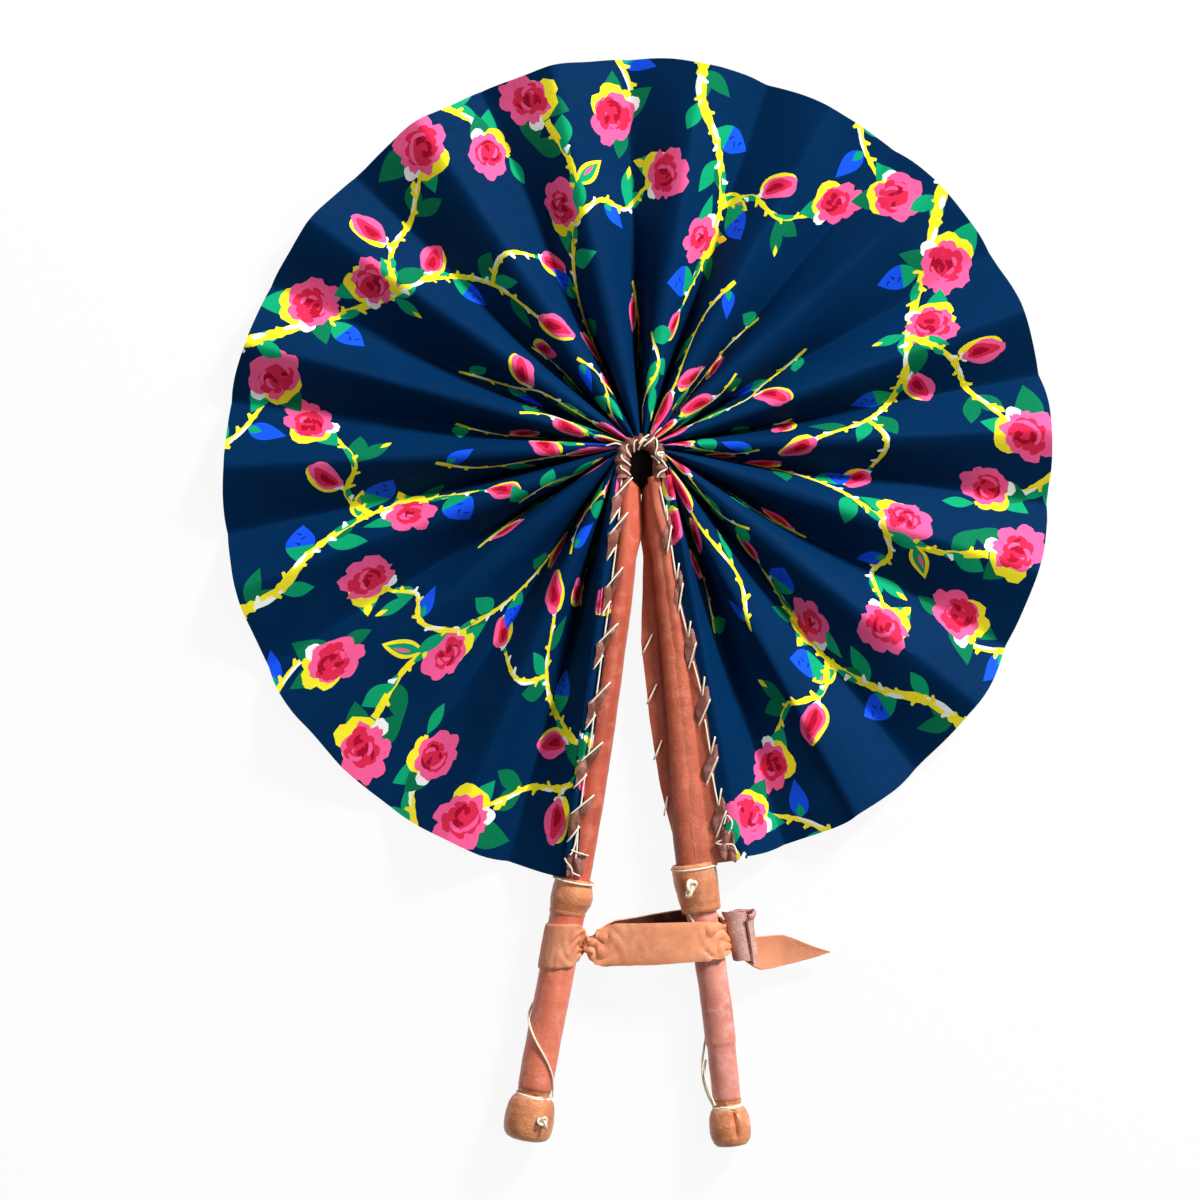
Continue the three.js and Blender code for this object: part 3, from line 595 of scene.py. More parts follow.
class Print:
    """Shapes on the flat cloth, each over the ones before it."""

    def __init__(self):
        self.shapes = []
        self.grown = []

    def add(self, colour, outline):
        self.shapes.append((colour, np.asarray(outline, float)))

    def rose(self, x, y, size, stalk, rng):
        at = np.array([x, y])
        back = turned([[1, 0]], stalk)[0]
        side = np.array([-back[1], back[0]]) * rng.choice((-1, 1))
        squeeze = rng.uniform(0.78, 0.98)
        self.add("yellow", petals(*(at + (back * 0.42 + side * 0.3) * size), 0.78 * size, 4, rng))
        self.add("white", petals(*(at + (back * 0.9 - side * 0.3) * size), 0.3 * size, 3, rng))
        self.add("pink", petals(x, y, size, rng.choice((6, 7, 8)), rng, squeeze, stalk))
        inner = at + (back * 0.12 + side * 0.08) * size
        for turn in np.arange(rng.uniform(0, 50), 360, 52):
            way = turned([[1, 0]], turn)[0] * [1, squeeze]
            spot = inner + way * rng.uniform(0.36, 0.56) * size
            self.add("rose", petals(*spot, rng.uniform(0.2, 0.34) * size, 3, rng, 0.7, turn + 90, 0.3))
        self.add("rose", petals(*inner, 0.46 * size, 4, rng, squeeze, stalk, 0.34))
        for _ in range(3):
            spot = inner + np.array([rng.uniform(-0.3, 0.3), rng.uniform(-0.3, 0.3)]) * size
            self.add("crimson", petals(*spot, rng.uniform(0.14, 0.24) * size, 3, rng, 0.6,
                                       rng.uniform(0, 180), 0.36))
        for _ in range(4):
            start = rng.uniform(0, 6.3)
            bend = np.linspace(start, start + rng.uniform(0.9, 1.7), 7)
            path = np.stack([np.cos(bend), np.sin(bend) * squeeze], -1)
            path = path * np.linspace(rng.uniform(0.2, 0.6), rng.uniform(0.2, 0.6), 7)[:, None]
            widths = 0.15 * size * np.sin(np.linspace(0.4, np.pi - 0.4, 7))
            colour = rng.choice(("pink", "pink", "crimson"))
            self.add(colour, stroke(turned(path * size, stalk) + inner, widths))

    def bud(self, x, y, length, turn, rng):
        at = np.array([x, y])
        half = length / 2
        tip = turned([[1, 0]], turn)[0]
        side = turned([[0, 1]], turn)[0] * rng.choice((-1, 1))
        self.add("yellow", blob(*(at + (side * 0.17 - tip * 0.1) * half), half, 3, 0.06, rng, 24,
                                0.56, turn))
        self.add("white", blob(*(at - tip * 0.9 * half), 0.24 * half, 3, 0.2, rng, 10))
        self.add("pink", blob(x, y, 0.97 * half, 4, 0.08, rng, 28, 0.56, turn))
        core = at + (side * 0.08 - tip * 0.08) * half
        self.add("rose", blob(*core, 0.74 * half, 3, 0.12, rng, 22, 0.44, turn))
        self.add("crimson", blob(*(core - tip * 0.12 * half), 0.42 * half, 3, 0.15, rng, 16, 0.4,
                                 turn))

    def leaf(self, x, y, length, turn, rng):
        colour = rng.choice(("green", "green", "deep_green"))
        shape = pod(length, rng.uniform(0.42, 0.56), rng.uniform(0.7, 1.15))
        self.add(colour, turned(shape, turn) + [x, y])
        if rng.random() < 0.22:
            tip = turned(shape * [0.34, 0.34] + [length * 0.68, 0], turn)
            self.add("yellow", tip + [x, y])

    def open_leaf(self, x, y, length, turn):
        """A leaf outlined in yellow, with a blush of pink."""
        self.add("yellow", turned(pod(length, 0.46), turn) + [x, y])
        self.add("green", turned(pod(length * 0.8, 0.34) + [length * 0.07, 0], turn) + [x, y])
        self.add("pink", turned(pod(length * 0.42, 0.22) + [length * 0.3, 0.6], turn) + [x, y])

    def blue_bud(self, x, y, length, turn):
        self.add("blue", turned(pod(length, 0.5, 0.7), turn) + [x, y])
        self.add("green", turned(pod(length * 0.36, 0.6, 0.8), turn) + [x, y])

    def blue_leaf(self, x, y, length, turn):
        """A broad leaf, green at its foot and blue at its tip, with dark veins."""
        shape = pod(length, 0.62, 0.95)
        self.add("green", turned(shape, turn) + [x, y])
        tip = shape[shape[:, 0] > length * 0.38]
        self.add("blue", turned(tip, turn) + [x, y])
        for share, side in ((0.46, 1), (0.6, -1), (0.72, 1)):
            root = np.array([share * length, 0.0])
            twig = [root, root + [0.07 * length, 0.11 * length * side]]
            self.add("deep_blue", stroke(turned(twig, turn) + [x, y], [1.1, 0.5]))

    def branch(self, path, wide, fine, rng):
        """A stem of yellow with white lights and green lengths, thorns and knobs."""
        count = len(path)
        widths = np.linspace(wide, fine, count)
        rough = np.array([rng.uniform(0.7, 1.25) for _ in range(count)])
        self.add("yellow", stroke(path, widths * rough))
        run = unit(np.gradient(path, axis=0))
        side = np.stack([-run[:, 1], run[:, 0]], -1)
        i = rng.randrange(3, 8)
        while i + 6 < count:
            span = rng.randrange(4, 9)
            part = slice(i, min(i + span, count - 1))
            shift = side[part] * widths[part, None] * rng.choice((-0.26, 0.26))
            taper = np.sin(np.linspace(0.3, np.pi - 0.3, len(path[part])))
            colour = rng.choice(("white", "white", "green"))
            thick = 1.1 if colour == "green" else 0.62
            self.add(colour, stroke(path[part] + shift, widths[part] * thick * taper))
            i += span + rng.randrange(3, 7)
        for i in range(3, count - 3, 4):
            way = rng.choice((-1, 1))
            root, width = path[i], widths[i]
            spike = root + side[i] * way * (width * 0.5 + rng.uniform(1.0, 2.4)) + run[i] * 1.2
            blunt = spike + run[i] * 0.9 - side[i] * way * 0.5
            colour = rng.choice(("yellow", "yellow", "yellow", "white"))
            self.add(colour, [root - run[i] * 1.2, root + run[i] * 1.6, blunt, spike])

    def sprig(self, points, wide, fine, kinds, seed):
        """A branch and what grows on it, by turns on its two sides."""
        rng = random.Random(seed)
        path = curve_through(points, 1.8)
        run = unit(np.gradient(path, axis=0))
        way = rng.choice((-1, 1))
        flowers = []
        for share, kind in zip(np.linspace(0.08, 1.0, len(kinds)), kinds):
            i = min(int(share * len(path)), len(path) - 1)
            way = -way
            lean = way * rng.uniform(35, 70) if share < 0.95 else rng.uniform(-20, 20)
            turn = math.degrees(math.atan2(run[i, 1], run[i, 0])) + lean
            ahead = turned([[1, 0]], turn)[0]
            if kind in "RB":
                size = rng.uniform(9.8, 12.2) if kind == "R" else rng.uniform(15.5, 18.5) / 2
                gap = rng.uniform(2.5, 6.0)
                middle = path[i] + ahead * (gap + 0.9 * size)
                if any(np.hypot(*(middle - at)) < size + other for at, other in self.grown):
                    self.leaf(*path[i], rng.uniform(12, 15), turn, rng)
                    continue
                self.grown.append((middle, size))
                flowers.append((kind, middle, size, turn))
                twig = path[i] + ahead * np.linspace(0, gap + 0.4 * size, 6)[:, None]
                self.add(rng.choice(("yellow", "yellow", "green")), stroke(twig, np.full(6, 1.7)))
                continue
            x, y = path[i] + ahead * 1.2
            if kind in "LP":
                self.leaf(x, y, rng.uniform(13, 17), turn, rng)
            if kind == "P":
                self.leaf(x, y, rng.uniform(12, 15), turn - way * rng.uniform(48, 80), rng)
            if kind == "O":
                self.open_leaf(x, y, rng.uniform(17, 20), turn)
            if kind == "U":
                self.blue_leaf(x, y, rng.uniform(18, 21), turn)
            if kind == "u":
                self.blue_bud(x, y, rng.uniform(13, 16), turn)
        self.branch(path, wide, fine, rng)
        for kind, (x, y), size, turn in flowers:
            if kind == "R":
                for lean in (150, 205)[: rng.choice((1, 2, 2))]:
                    self.leaf(x, y, size + rng.uniform(8, 11), turn + lean + rng.uniform(-25, 25), rng)
                self.rose(x, y, size, turn + 180, rng)
            else:
                self.bud(x, y, 2 * size, turn, rng)


# One repeat of the print: points of each branch, counted from its left edge and from the hub
# side, its width at both ends, and its roses, buds, leaves and blue flowers in order
REPEAT = 336.0
SPRIGS = [
    ([(6, 162), (20, 142), (38, 124), (60, 110), (84, 100), (104, 84), (116, 62)], 4.4, 2.4,
     "PRURPBUPLB"),
    ([(60, 110), (76, 122), (94, 126), (110, 136)], 3.2, 1.8, "PBPR"),
    ([(104, 84), (120, 90), (136, 84)], 2.6, 1.6, "LB"),
    ([(150, 22), (152, 48), (160, 70), (172, 90), (178, 112), (172, 134)], 2.2, 3.2, "BLUPROPR"),
    ([(172, 90), (188, 98), (204, 94), (216, 102)], 2.6, 1.6, "LuPR"),
    ([(238, 162), (240, 140), (252, 122), (262, 100), (262, 78), (254, 56)], 4.0, 2.2,
     "PRUPORPUB"),
    ([(262, 100), (278, 108), (294, 104), (308, 112)], 2.8, 1.6, "UBPR"),
    ([(326, 66), (318, 46), (322, 24)], 2.2, 1.5, "LBB"),
    ([(300, 160), (312, 148), (324, 142)], 2.6, 1.6, "LuR"),
    ([(34, 72), (44, 50), (58, 38), (60, 16)], 2.4, 1.5, "LUBPB"),
    ([(90, 54), (98, 38), (92, 16)], 2.0, 1.4, "BLB"),
    ([(206, 64), (212, 44), (206, 20)], 2.2, 1.5, "BPB"),
    ([(292, 72), (284, 50), (290, 24)], 2.0, 1.4, "uLB"),
    ([(134, 156), (144, 142), (150, 126)], 2.8, 1.6, "PRB"),
    ([(12, 42), (18, 28), (12, 14)], 1.6, 1.2, "LBPB"),
    ([(122, 38), (128, 26), (120, 12)], 1.6, 1.2, "uBPB"),
    ([(232, 42), (240, 28), (232, 12)], 1.6, 1.2, "RPLB"),
    ([(308, 36), (304, 24), (310, 10)], 1.6, 1.2, "BPuB"),
    ([(204, 158), (210, 142), (206, 130)], 2.4, 1.5, "uRL"),
]


def draw_print():
    """Every branch of the print, over the whole strip."""
    drawn = Print()
    for start in np.arange(-70.0, FLAT[-1], REPEAT):
        for seed, sprig in enumerate(SPRIGS):
            points, wide, fine, kinds = sprig
            drawn.sprig([(start + x, y) for x, y in points], wide, fine, kinds, 300 + seed)
    return drawn.shapes


SHAPES = draw_print()


def cut_to(outline, low, high):
    """The part of an outline inside an upright box."""
    for axis in (0, 1):
        for bound, sign in ((low[axis], 1), (high[axis], -1)):
            kept = []
            for p, q in zip(outline, np.roll(outline, -1, axis=0)):
                p_in = sign * (p[axis] - bound) >= 0
                q_in = sign * (q[axis] - bound) >= 0
                if p_in:
                    kept.append(p)
                if p_in != q_in:
                    kept.append(p + (q - p) * (bound - p[axis]) / (q[axis] - p[axis]))
            outline = np.array(kept)
            if len(outline) < 3:
                return None
    return outline


# Where the cloth has its own points: across half a pleat, from the ridge down, and in rows outwards
ACROSS = [0, 0.018, 0.04, 0.07, 0.115, 0.18, 0.28, 0.4, 0.52, 0.64, 0.75, 0.84, 0.9, 0.95, 0.98, 1]
ROWS = 30


def leaf_piece(name, ridge, body, node):
    """One pleat, or one end of the leaf, with its print cut into its own faces."""
    left, right = max(ridge - 1, 0), min(ridge + 1, LAST)
    low = np.array([FLAT[left], 0.0])
    high = np.array([FLAT[right], CLOTH_LENGTH])
    sides = []
    if left < ridge:
        sides += [FLAT[ridge] - s * (FLAT[ridge] - FLAT[left]) for s in reversed(ACROSS)]
    if right > ridge:
        sides += [FLAT[ridge] + s * (FLAT[right] - FLAT[ridge]) for s in ACROSS]
    columns = sorted(set(sides))
    heights = np.linspace(0, 1, ROWS) ** 1.15 * CLOTH_LENGTH
    points = [Vector((x, y)) for y in heights for x in columns]
    wide = len(columns)
    edges = []
    for r in range(ROWS):
        for c in range(wide):
            at = r * wide + c
            if c + 1 < wide:
                edges.append((at, at + 1))
            if r + 1 < ROWS:
                edges.append((at, at + wide))
    shapes = []
    for ink, outline in SHAPES:
        if (outline.max(0) <= low).any() or (outline.min(0) >= high).any():
            continue
        cut = cut_to(outline, low, high)
        if cut is None:
            continue
        first = len(points)
        points += [Vector(p) for p in cut]
        edges += [(first + i, first + (i + 1) % len(cut)) for i in range(len(cut))]
        shapes.append((ink, outline))
    flat, _, faces, _, _, _ = delaunay_2d_cdt(points, edges, [], 0, 1e-3)
    return cloth_mesh(name, ridge, np.array(flat), faces, shapes, body, node)


def ink_of(places, shapes):
    """The colour at each place: the last shape drawn over it, or else the ground."""
    top = np.full(len(places), -1)
    x, y = places[:, :1], places[:, 1:]
    for number, (_, outline) in enumerate(shapes):
        (ax, ay), (bx, by) = outline.T, np.roll(outline, -1, axis=0).T
        spans = (ay > y) != (by > y)
        rise = np.where(by == ay, 1e-9, by - ay)
        left_of = x < (bx - ax) * (y - ay) / rise + ax
        top[(spans & left_of).sum(1) % 2 == 1] = number
    return ["navy" if i < 0 else shapes[i][0] for i in top]


def paint_cloth(mesh, inks, flat):
    """The ink of each face, and the place of each corner on the flat cloth, front and back alike."""
    paint = mesh.color_attributes.new("print", "FLOAT_COLOR", "CORNER")
    colours = [np.tile(PRINT_COLOURS[ink], (len(face.vertices), 1))
               for ink, face in zip(inks, mesh.polygons)]
    paint.data.foreach_set("color", np.concatenate(colours).astype(np.float32).ravel())
    corners = np.empty(len(mesh.loops), np.int32)
    mesh.loops.foreach_get("vertex_index", corners)
    places = np.concatenate([flat, flat])[corners] * MM
    layer = mesh.uv_layers.new(name="cloth")
    layer.data.foreach_set("uv", places.astype(np.float32).ravel())


def cloth_mesh(name, ridge, flat, faces, shapes, body, node):
    """The pleat's cloth, front, back and rim, from its flat triangles."""
    left, right = max(ridge - 1, 0), min(ridge + 1, LAST)
    offset = flat[:, 0] - FLAT[ridge]
    offset[np.abs(offset) < 0.01] = 0
    before = max(FLAT[ridge] - FLAT[left], 1e-6)
    after = max(FLAT[right] - FLAT[ridge], 1e-6)
    across = np.clip(np.where(offset < 0, offset / before, offset / after), -1, 1)
    share = np.clip(flat[:, 1] / CLOTH_LENGTH, 0, 1)
    top = leaf_points(ridge, across, share)
    triangles = np.array([f for f in faces if len(f) == 3])
    a, b, c = (top[triangles[:, i]] for i in range(3))
    turn = np.cross(b - a, c - a)
    if turn[:, 2].sum() < 0:
        triangles = triangles[:, ::-1]
        turn = -turn
    normals = np.zeros_like(top)
    for i in range(3):
        np.add.at(normals, triangles[:, i], turn)
    under = top - unit(normals + [0, 0, 1e-12]) * CLOTH_THICKNESS
    count = len(top)
    pairs = {}
    for t in triangles:
        for p, q in ((t[0], t[1]), (t[1], t[2]), (t[2], t[0])):
            key = (min(p, q), max(p, q))
            pairs[key] = None if key in pairs else (p, q)
    rim = [pair for pair in pairs.values() if pair is not None]
    walls = [(q, p, p + count, q + count) for p, q in rim]
    below = triangles[:, ::-1] + count
    mesh = bpy.data.meshes.new(name)
    every = [*map(tuple, triangles.tolist()), *map(tuple, below.tolist()), *walls]
    mesh.from_pydata((np.concatenate([top, under]) * MM).tolist(), [], every)
    tops = ink_of(flat[triangles].mean(1), shapes)
    paint_cloth(mesh, [*tops, *tops, *["navy"] * len(walls)], flat)
    mesh.shade_smooth()
    hard = mesh.attributes.new("sharp_edge", "BOOLEAN", "EDGE")
    ends = np.array([e.vertices[:] for e in mesh.edges])
    on_rim = np.zeros(2 * count, bool)
    for p, q in rim:
        on_rim[[p, q, p + count, q + count]] = True
    hard.data.foreach_set("value", on_rim[ends].all(1))
    mesh.materials.append(CLOTH)
    piece = seat_piece(placed(name, mesh), body, "printed_cloth", node)
    fold_with_leaf(piece, ridge)
    return piece


def fold_with_leaf(piece, ridge):
    """The pleat gets its own copy of its mesh."""
    run = unit(OUTER[ridge] - INNER[ridge])
    anchor = [*(INNER[ridge] * MM), MID_HEIGHT * MM]
    -run[1]
    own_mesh(piece)


def make_leaf():
    for number in range(1, LAST // 2):
        label = f"{number:02d}"
        leaf_piece(f"cloth_pleat_{label}", 2 * number, f"pleat_body_{label}", f"pleat_{label}")
    leaf_piece("cloth_end_left", 0, "left_guard", "leaf_end_left")
    leaf_piece("cloth_end_right", LAST, "right_guard", "leaf_end_right")


make_leaf()


# Guards
COVER_TOP_WIDE, COVER_TOP_HIGH = 4.7, 7.8


class Guard:
    """One guard: its line from the hub to the end cap, and its sizes along that line."""

    def __init__(self, label, side, line, **sizes):
        self.label, self.side = label, side
        self.body = f"{label}_guard"
        self.line = np.array(line, float)
        self.__dict__.update(sizes)

    def centre(self, distance):
        """The middle line, smooth through its even points."""
        last = len(self.line) - 1
        place = np.clip(np.asarray(distance, float) / self.length, 0, 1) * last
        i = np.minimum(place.astype(int), last - 1)
        f = (place - i)[..., None]
        ends = np.concatenate([[2 * self.line[0] - self.line[1]], self.line,
                               [2 * self.line[-1] - self.line[-2]]])
        a, b, c, d = ends[i], ends[i + 1], ends[i + 2], ends[i + 3]
        return 0.5 * (2 * b + (c - a) * f + (2 * a - 5 * b + 4 * c - d) * f * f
                      + (3 * b - a - 3 * c + d) * f**3)

    def axes(self, distance):
        """Directions along the guard, towards the other guard, and up."""
        step = 0.5
        along = unit(self.centre(distance + step) - self.centre(distance - step))
        gapward = unit(np.cross([0, 0, 1.0], along)) * -self.side
        up = unit(np.cross(along, gapward))
        return along, gapward, up * np.sign(up[..., 2:3])

    def around(self, distance, angle, wide, high):
        """Points at angles about the line: 0 faces the other guard and 90 degrees up."""
        distance, angle = np.broadcast_arrays(distance, angle)
        _, gapward, up = self.axes(distance)
        wide = np.broadcast_to(wide, distance.shape)[..., None]
        high = np.broadcast_to(high, distance.shape)[..., None]
        turn = np.radians(angle)[..., None]
        return self.centre(distance) + gapward * wide * np.cos(turn) + up * high * np.sin(turn)

    def cover_size(self, distance):
        """Half the cover's width and height."""
        share = np.asarray(distance, float) / self.sleeve_start
        wide = COVER_TOP_WIDE + (self.cover_end - COVER_TOP_WIDE) * share
        return wide, COVER_TOP_HIGH + (self.cover_end - COVER_TOP_HIGH) * np.minimum(1, share)


# Each guard's own sizes:
# seam: distance along the guard, and how far the seam at the leaf's edge is from the middle line
# lace_shape: share of the way across, how far that is beyond the seam, then the middle of the lace
# and half its width there, both along the guard from where the turn starts
# stitches: from distance and place beyond the seam, to distance and place, from the turn's start
# sleeve_shape: share of the sleeve's length, and how much the leather swells there
# cap_shape: share of the cap's length, and the radius there
# tails: loose threads, as rows of distance up from the cap's tie, angle and lift off the grip
LEFT = Guard(
    "left", -1,
    [(-3.43, 50.85, 10), (-4.36, 28.41, 10), (-6.36, 6.05, 10), (-9.41, -16.2, 10),
     (-12.64, -38.42, 10), (-16.02, -60.62, 10), (-19.7, -82.8, 10), (-23.8, -104.97, 10),
     (-28.2, -127.1, 10), (-32.3, -149.2, 10), (-36.5, -171.28, 10),
     (-40.6, -193.35, 10), (-44.5, -215.42, 10)],
    length=269.23, sleeve_start=162.33, sleeve_end=177.33, cap_start=247.9, cap_length=20.4,
    cover_end=6.3, grip=7.2, sleeve=7.6, cap_thread=6.75, sleeve_thread_drop=0.6,
    cover_look=RED, grip_look=GRIP, edge_crease=0, edge_valley=1, edge_end=0.998,
    seam=[(0, 2.5), (26, 4.0), (50, 3.2), (70, 3.3), (104, 2.7), (126, 2.8), (140, 2.4), (151, 1.0)],
    lace_starts=[1, 16, 38, 60, 84, 107.5, 129],
    lace_shape=[(0, -3.7, 0.3, 0.7), (0.2, -2.2, 3.4, 2.4), (0.5, 0.2, 8.2, 4.2), (1, 4.2, 13.2, 4.9)],
    stitches=[(-0.8, -4.2, 8.6, 4.2), (12.6, -0.6, 18.8, 4.4)],
    sleeve_shape=[(0, 0.3), (0.1, 0), (0.25, 0.5), (0.45, 1.3), (0.62, 1.1), (0.8, -0.2), (1, -0.8)],
    sleeve_far_side=0.35, sleeve_turn=(-0.5, 0.8),
    cap_shape=[(0, 6.6), (0.05, 6.3), (0.09, 6.2), (0.14, 6.9), (0.2, 8.3), (0.3, 9.2), (0.45, 9.8),
               (0.62, 10.0), (0.8, 9.8), (0.9, 9.2), (0.965, 8.0), (1, 6.2)],
    tails=[[(0, 12, 0.5), (6, 28, 0.4), (13, 62, 0.4), (20, 104, 0.4), (27, 150, 0.4),
            (32, 188, 0.4), (36, 214, 0.4)]],
)
RIGHT = Guard(
    "right", 1,
    [(6.97, 50.85, 10), (9.22, 28.51, 10), (11.48, 6.17, 10), (13.74, -16.17, 10),
     (15.94, -38.51, 10.01), (18.02, -60.87, 10.04), (20.15, -83.23, 10.06),
     (23.0, -105.56, 10.02), (26.6, -127.79, 9.8), (30.4, -149.9, 9.39),
     (33.3, -172.17, 9.04), (35.7, -194.52, 8.72), (38.2, -216.87, 8.4)],
    length=269.35, sleeve_start=155.55, sleeve_end=175.15, cap_start=251.15, cap_length=19.4,
    cover_end=7.0, grip=5.9, sleeve=8.4, cap_thread=5.75, sleeve_thread_drop=1.4,
    cover_look=BROWN_GUARD, grip_look=PINK_GRIP, edge_crease=LAST, edge_valley=LAST - 1,
    edge_end=0.984,
    seam=[(0, 1.5), (13, 1.9), (26, 3.9), (50, 5.3), (66, 7.3), (87, 10.3), (103, 11.3),
          (128, 12.0), (140, 13.4), (150, 13.8)],
    lace_starts=[11, 34.5, 58, 81, 104.5, 126],
    lace_shape=[(0, 2.8, 7.0, 3.1), (0.5, -0.4, 12.2, 4.6), (0.8, -2.6, 15.6, 4.2), (1, -4.0, 17.8, 3.2)],
    stitches=[(-6.5, -0.3, 8.3, 0.1), (1.0, 2.9, 8.3, 0.1), (9.2, 3.2, 20.8, -3.6)],
    sleeve_shape=[(0, 0.5), (0.06, 0.9), (0.5, 0.4), (0.9, -0.6), (1, -0.9)],
    sleeve_far_side=0.5, sleeve_turn=(-0.6, 0.6),
    cap_shape=[(0, 5.8), (0.05, 5.5), (0.1, 5.2), (0.15, 5.8), (0.22, 6.9), (0.35, 7.8), (0.5, 8.3),
               (0.64, 8.4), (0.78, 8.0), (0.88, 7.1), (0.95, 5.9), (1, 4.2)],
    tails=[[(0, 30, 0.6), (5, 18, 2.0), (11, 6, 2.7), (17, 0, 2.3), (23, -12, 1.0), (28, -34, 0.4),
            (31, -55, 0.4)],
           [(0.3, 40, 0.6), (6, 26, 1.5), (12, 12, 2.0), (18, -10, 0.8)],
           [(78.6, 38, 0.8), (76, 48, 0.7), (73, 62, 0.6), (71, 70, 0.5)]],
)
TURNS = np.linspace(0, 360, 56, endpoint=False)


def rings(distances):
    """Distance and angle of each point of a grid of rings."""
    return np.meshgrid(distances, TURNS, indexing="ij")


def off_gap(angle):
    """Degrees from the side that faces the other guard, either way round."""
    return np.abs((angle + 180) % 360 - 180)


def creased(rows, depth, size, seed):
    """The rings with small folds and dents pressed into them."""
    out = unit(rows - rows.mean(1, keepdims=True))
    dents = ripple(rows, size, seed) + 0.5 * ripple(rows, size * 0.4, seed + 3)
    return rows + out * (depth * dents)[..., None]


WING_WIDTH = 6.2
WING_SHARES = [(0, 0.03), (0.1, 0.1), (0.18, 0.3), (0.42, 1), (0.63, 0.85), (0.8, 0.5), (0.92, 0), (2, 0)]
COVER_WALL, SLEEVE_WALL, GRIP_WALL = 0.9, 1.0, 1.0


def wing_reach(guard, distance):
    """How far the cover's sewn edge stands out."""
    return WING_WIDTH * along_rows(WING_SHARES, distance / guard.sleeve_start)


def make_cover(guard):
    """The leather over the stick. On the right guard its sewn edge stands out as a wing."""
    end = (guard.sleeve_start + guard.sleeve_end) / 2
    distance, angle = rings(np.concatenate([np.linspace(-0.8, 3.0, 12), np.linspace(4, end, 88)]))
    off = off_gap(angle)
    half, high = guard.cover_size(distance)
    wide = half
    if guard is RIGHT:
        wide = wide + wing_reach(guard, distance) * (bump(off, 0, 8) - 0.12 * bump(off, 30, 12))
    apart = np.linalg.norm(LEFT.centre(distance) - RIGHT.centre(distance), axis=-1) / 2
    closing = np.clip(apart - half - 0.15, 0, 3) * (1 - smooth(distance, 20, 34))
    wide = wide + closing * bump(off, 0, 50)
    round_end = np.sqrt(1 - np.clip((3.2 - distance) / 4.1, 0, 0.99) ** 2)
    slant = (0.5 + 2.6 * np.cos(np.radians(angle))) * (1 - smooth(distance, 0, 14))
    rows = guard.around(distance + slant, angle, wide * round_end, high * round_end)
    rows = creased(rows, 0.16, 9.0, guard.side)
    cover = hollow_tube(f"{guard.label}_cover_leather", rows, COVER_WALL, guard.cover_look,
                        guard.body, "red_leather", f"{guard.label}_cover")
    if guard is RIGHT:
        # Painted shade on the tube's side towards the other guard, in the groove beside the wing.
        dark = bump(off, 24, 17) * smooth(distance, 2, 14)
        painted_shade(cover, [dark * (0.75 + 0.25 * ripple(rows, 12, 4)), 0 * dark])


def painted_shade(piece, amounts):
    """Painted shade: how dark the leather is painted at each point of the mesh, where shade falls on it.
    """
    layer = piece.data.attributes.new("painted_shade", "FLOAT", "POINT")
    layer.data.foreach_set("value", np.asarray(amounts, np.float32).ravel())


def edge_share(guard, distance):
    """How far along the leaf's sewn edge a place on the guard is."""
    inner, outer = INNER[guard.edge_crease], OUTER[guard.edge_crease]
    along, _, _ = guard.axes(distance)
    run = outer - inner
    gap = guard.centre(distance)[..., :2] - inner
    return np.clip((gap * along[..., :2]).sum(-1) / (along[..., :2] @ run), 0, 1)


def edge_points(guard, distance):
    """The leaf's sewn edge beside the guard, and the way the cloth falls away from it."""
    share = edge_share(guard, distance)
    top = crease_at(guard.edge_crease, share)
    foot = crease_at(guard.edge_valley, share)
    half = half_depth(share)
    edge = np.concatenate([top, (MID_HEIGHT + half)[..., None]], -1)
    valley = np.concatenate([foot, (MID_HEIGHT - half)[..., None]], -1)
    return edge, unit(valley - edge)


# How far the sewn edge reaches down the leaf's first fold, and how far it is off the cover
EDGE_DROP, EDGE_LIFT = 5.0, 0.4


def edge_grid(guard, distances, start_degrees):
    """A surface from the cover to the leaf's edge and a little way down the first fold."""
    wide, high = guard.cover_size(distances)
    edge, fall = edge_points(guard, distances)
    along, gapward, up = guard.axes(distances)
    out = edge - guard.centre(distances)
    across, rise = (out * gapward).sum(-1), (out * up).sum(-1)
    tip_angle = np.degrees(np.arctan2(rise / high, across / wide)) % 360
    rows = []
    for share in np.linspace(0, 1, 7):
        angle = start_degrees + (tip_angle - start_degrees) * share * 0.82
        rows.append(guard.around(distances, angle, wide + EDGE_LIFT, high + EDGE_LIFT))
    last = rows[-1]
    cloth_up = unit(np.cross(fall, along) * guard.side)
    cloth_up *= np.sign(cloth_up[..., 2:3])
    crown = edge + cloth_up * 0.5 + [0, 0, 0.35]
    rows += [last + (crown - last) * share for share in (0.35, 0.7, 1.0)]
    rows += [crown + fall * (EDGE_DROP * share) + cloth_up * 0.15 for share in (0.3, 0.65, 1.0)]
    return np.stack(rows, 1)


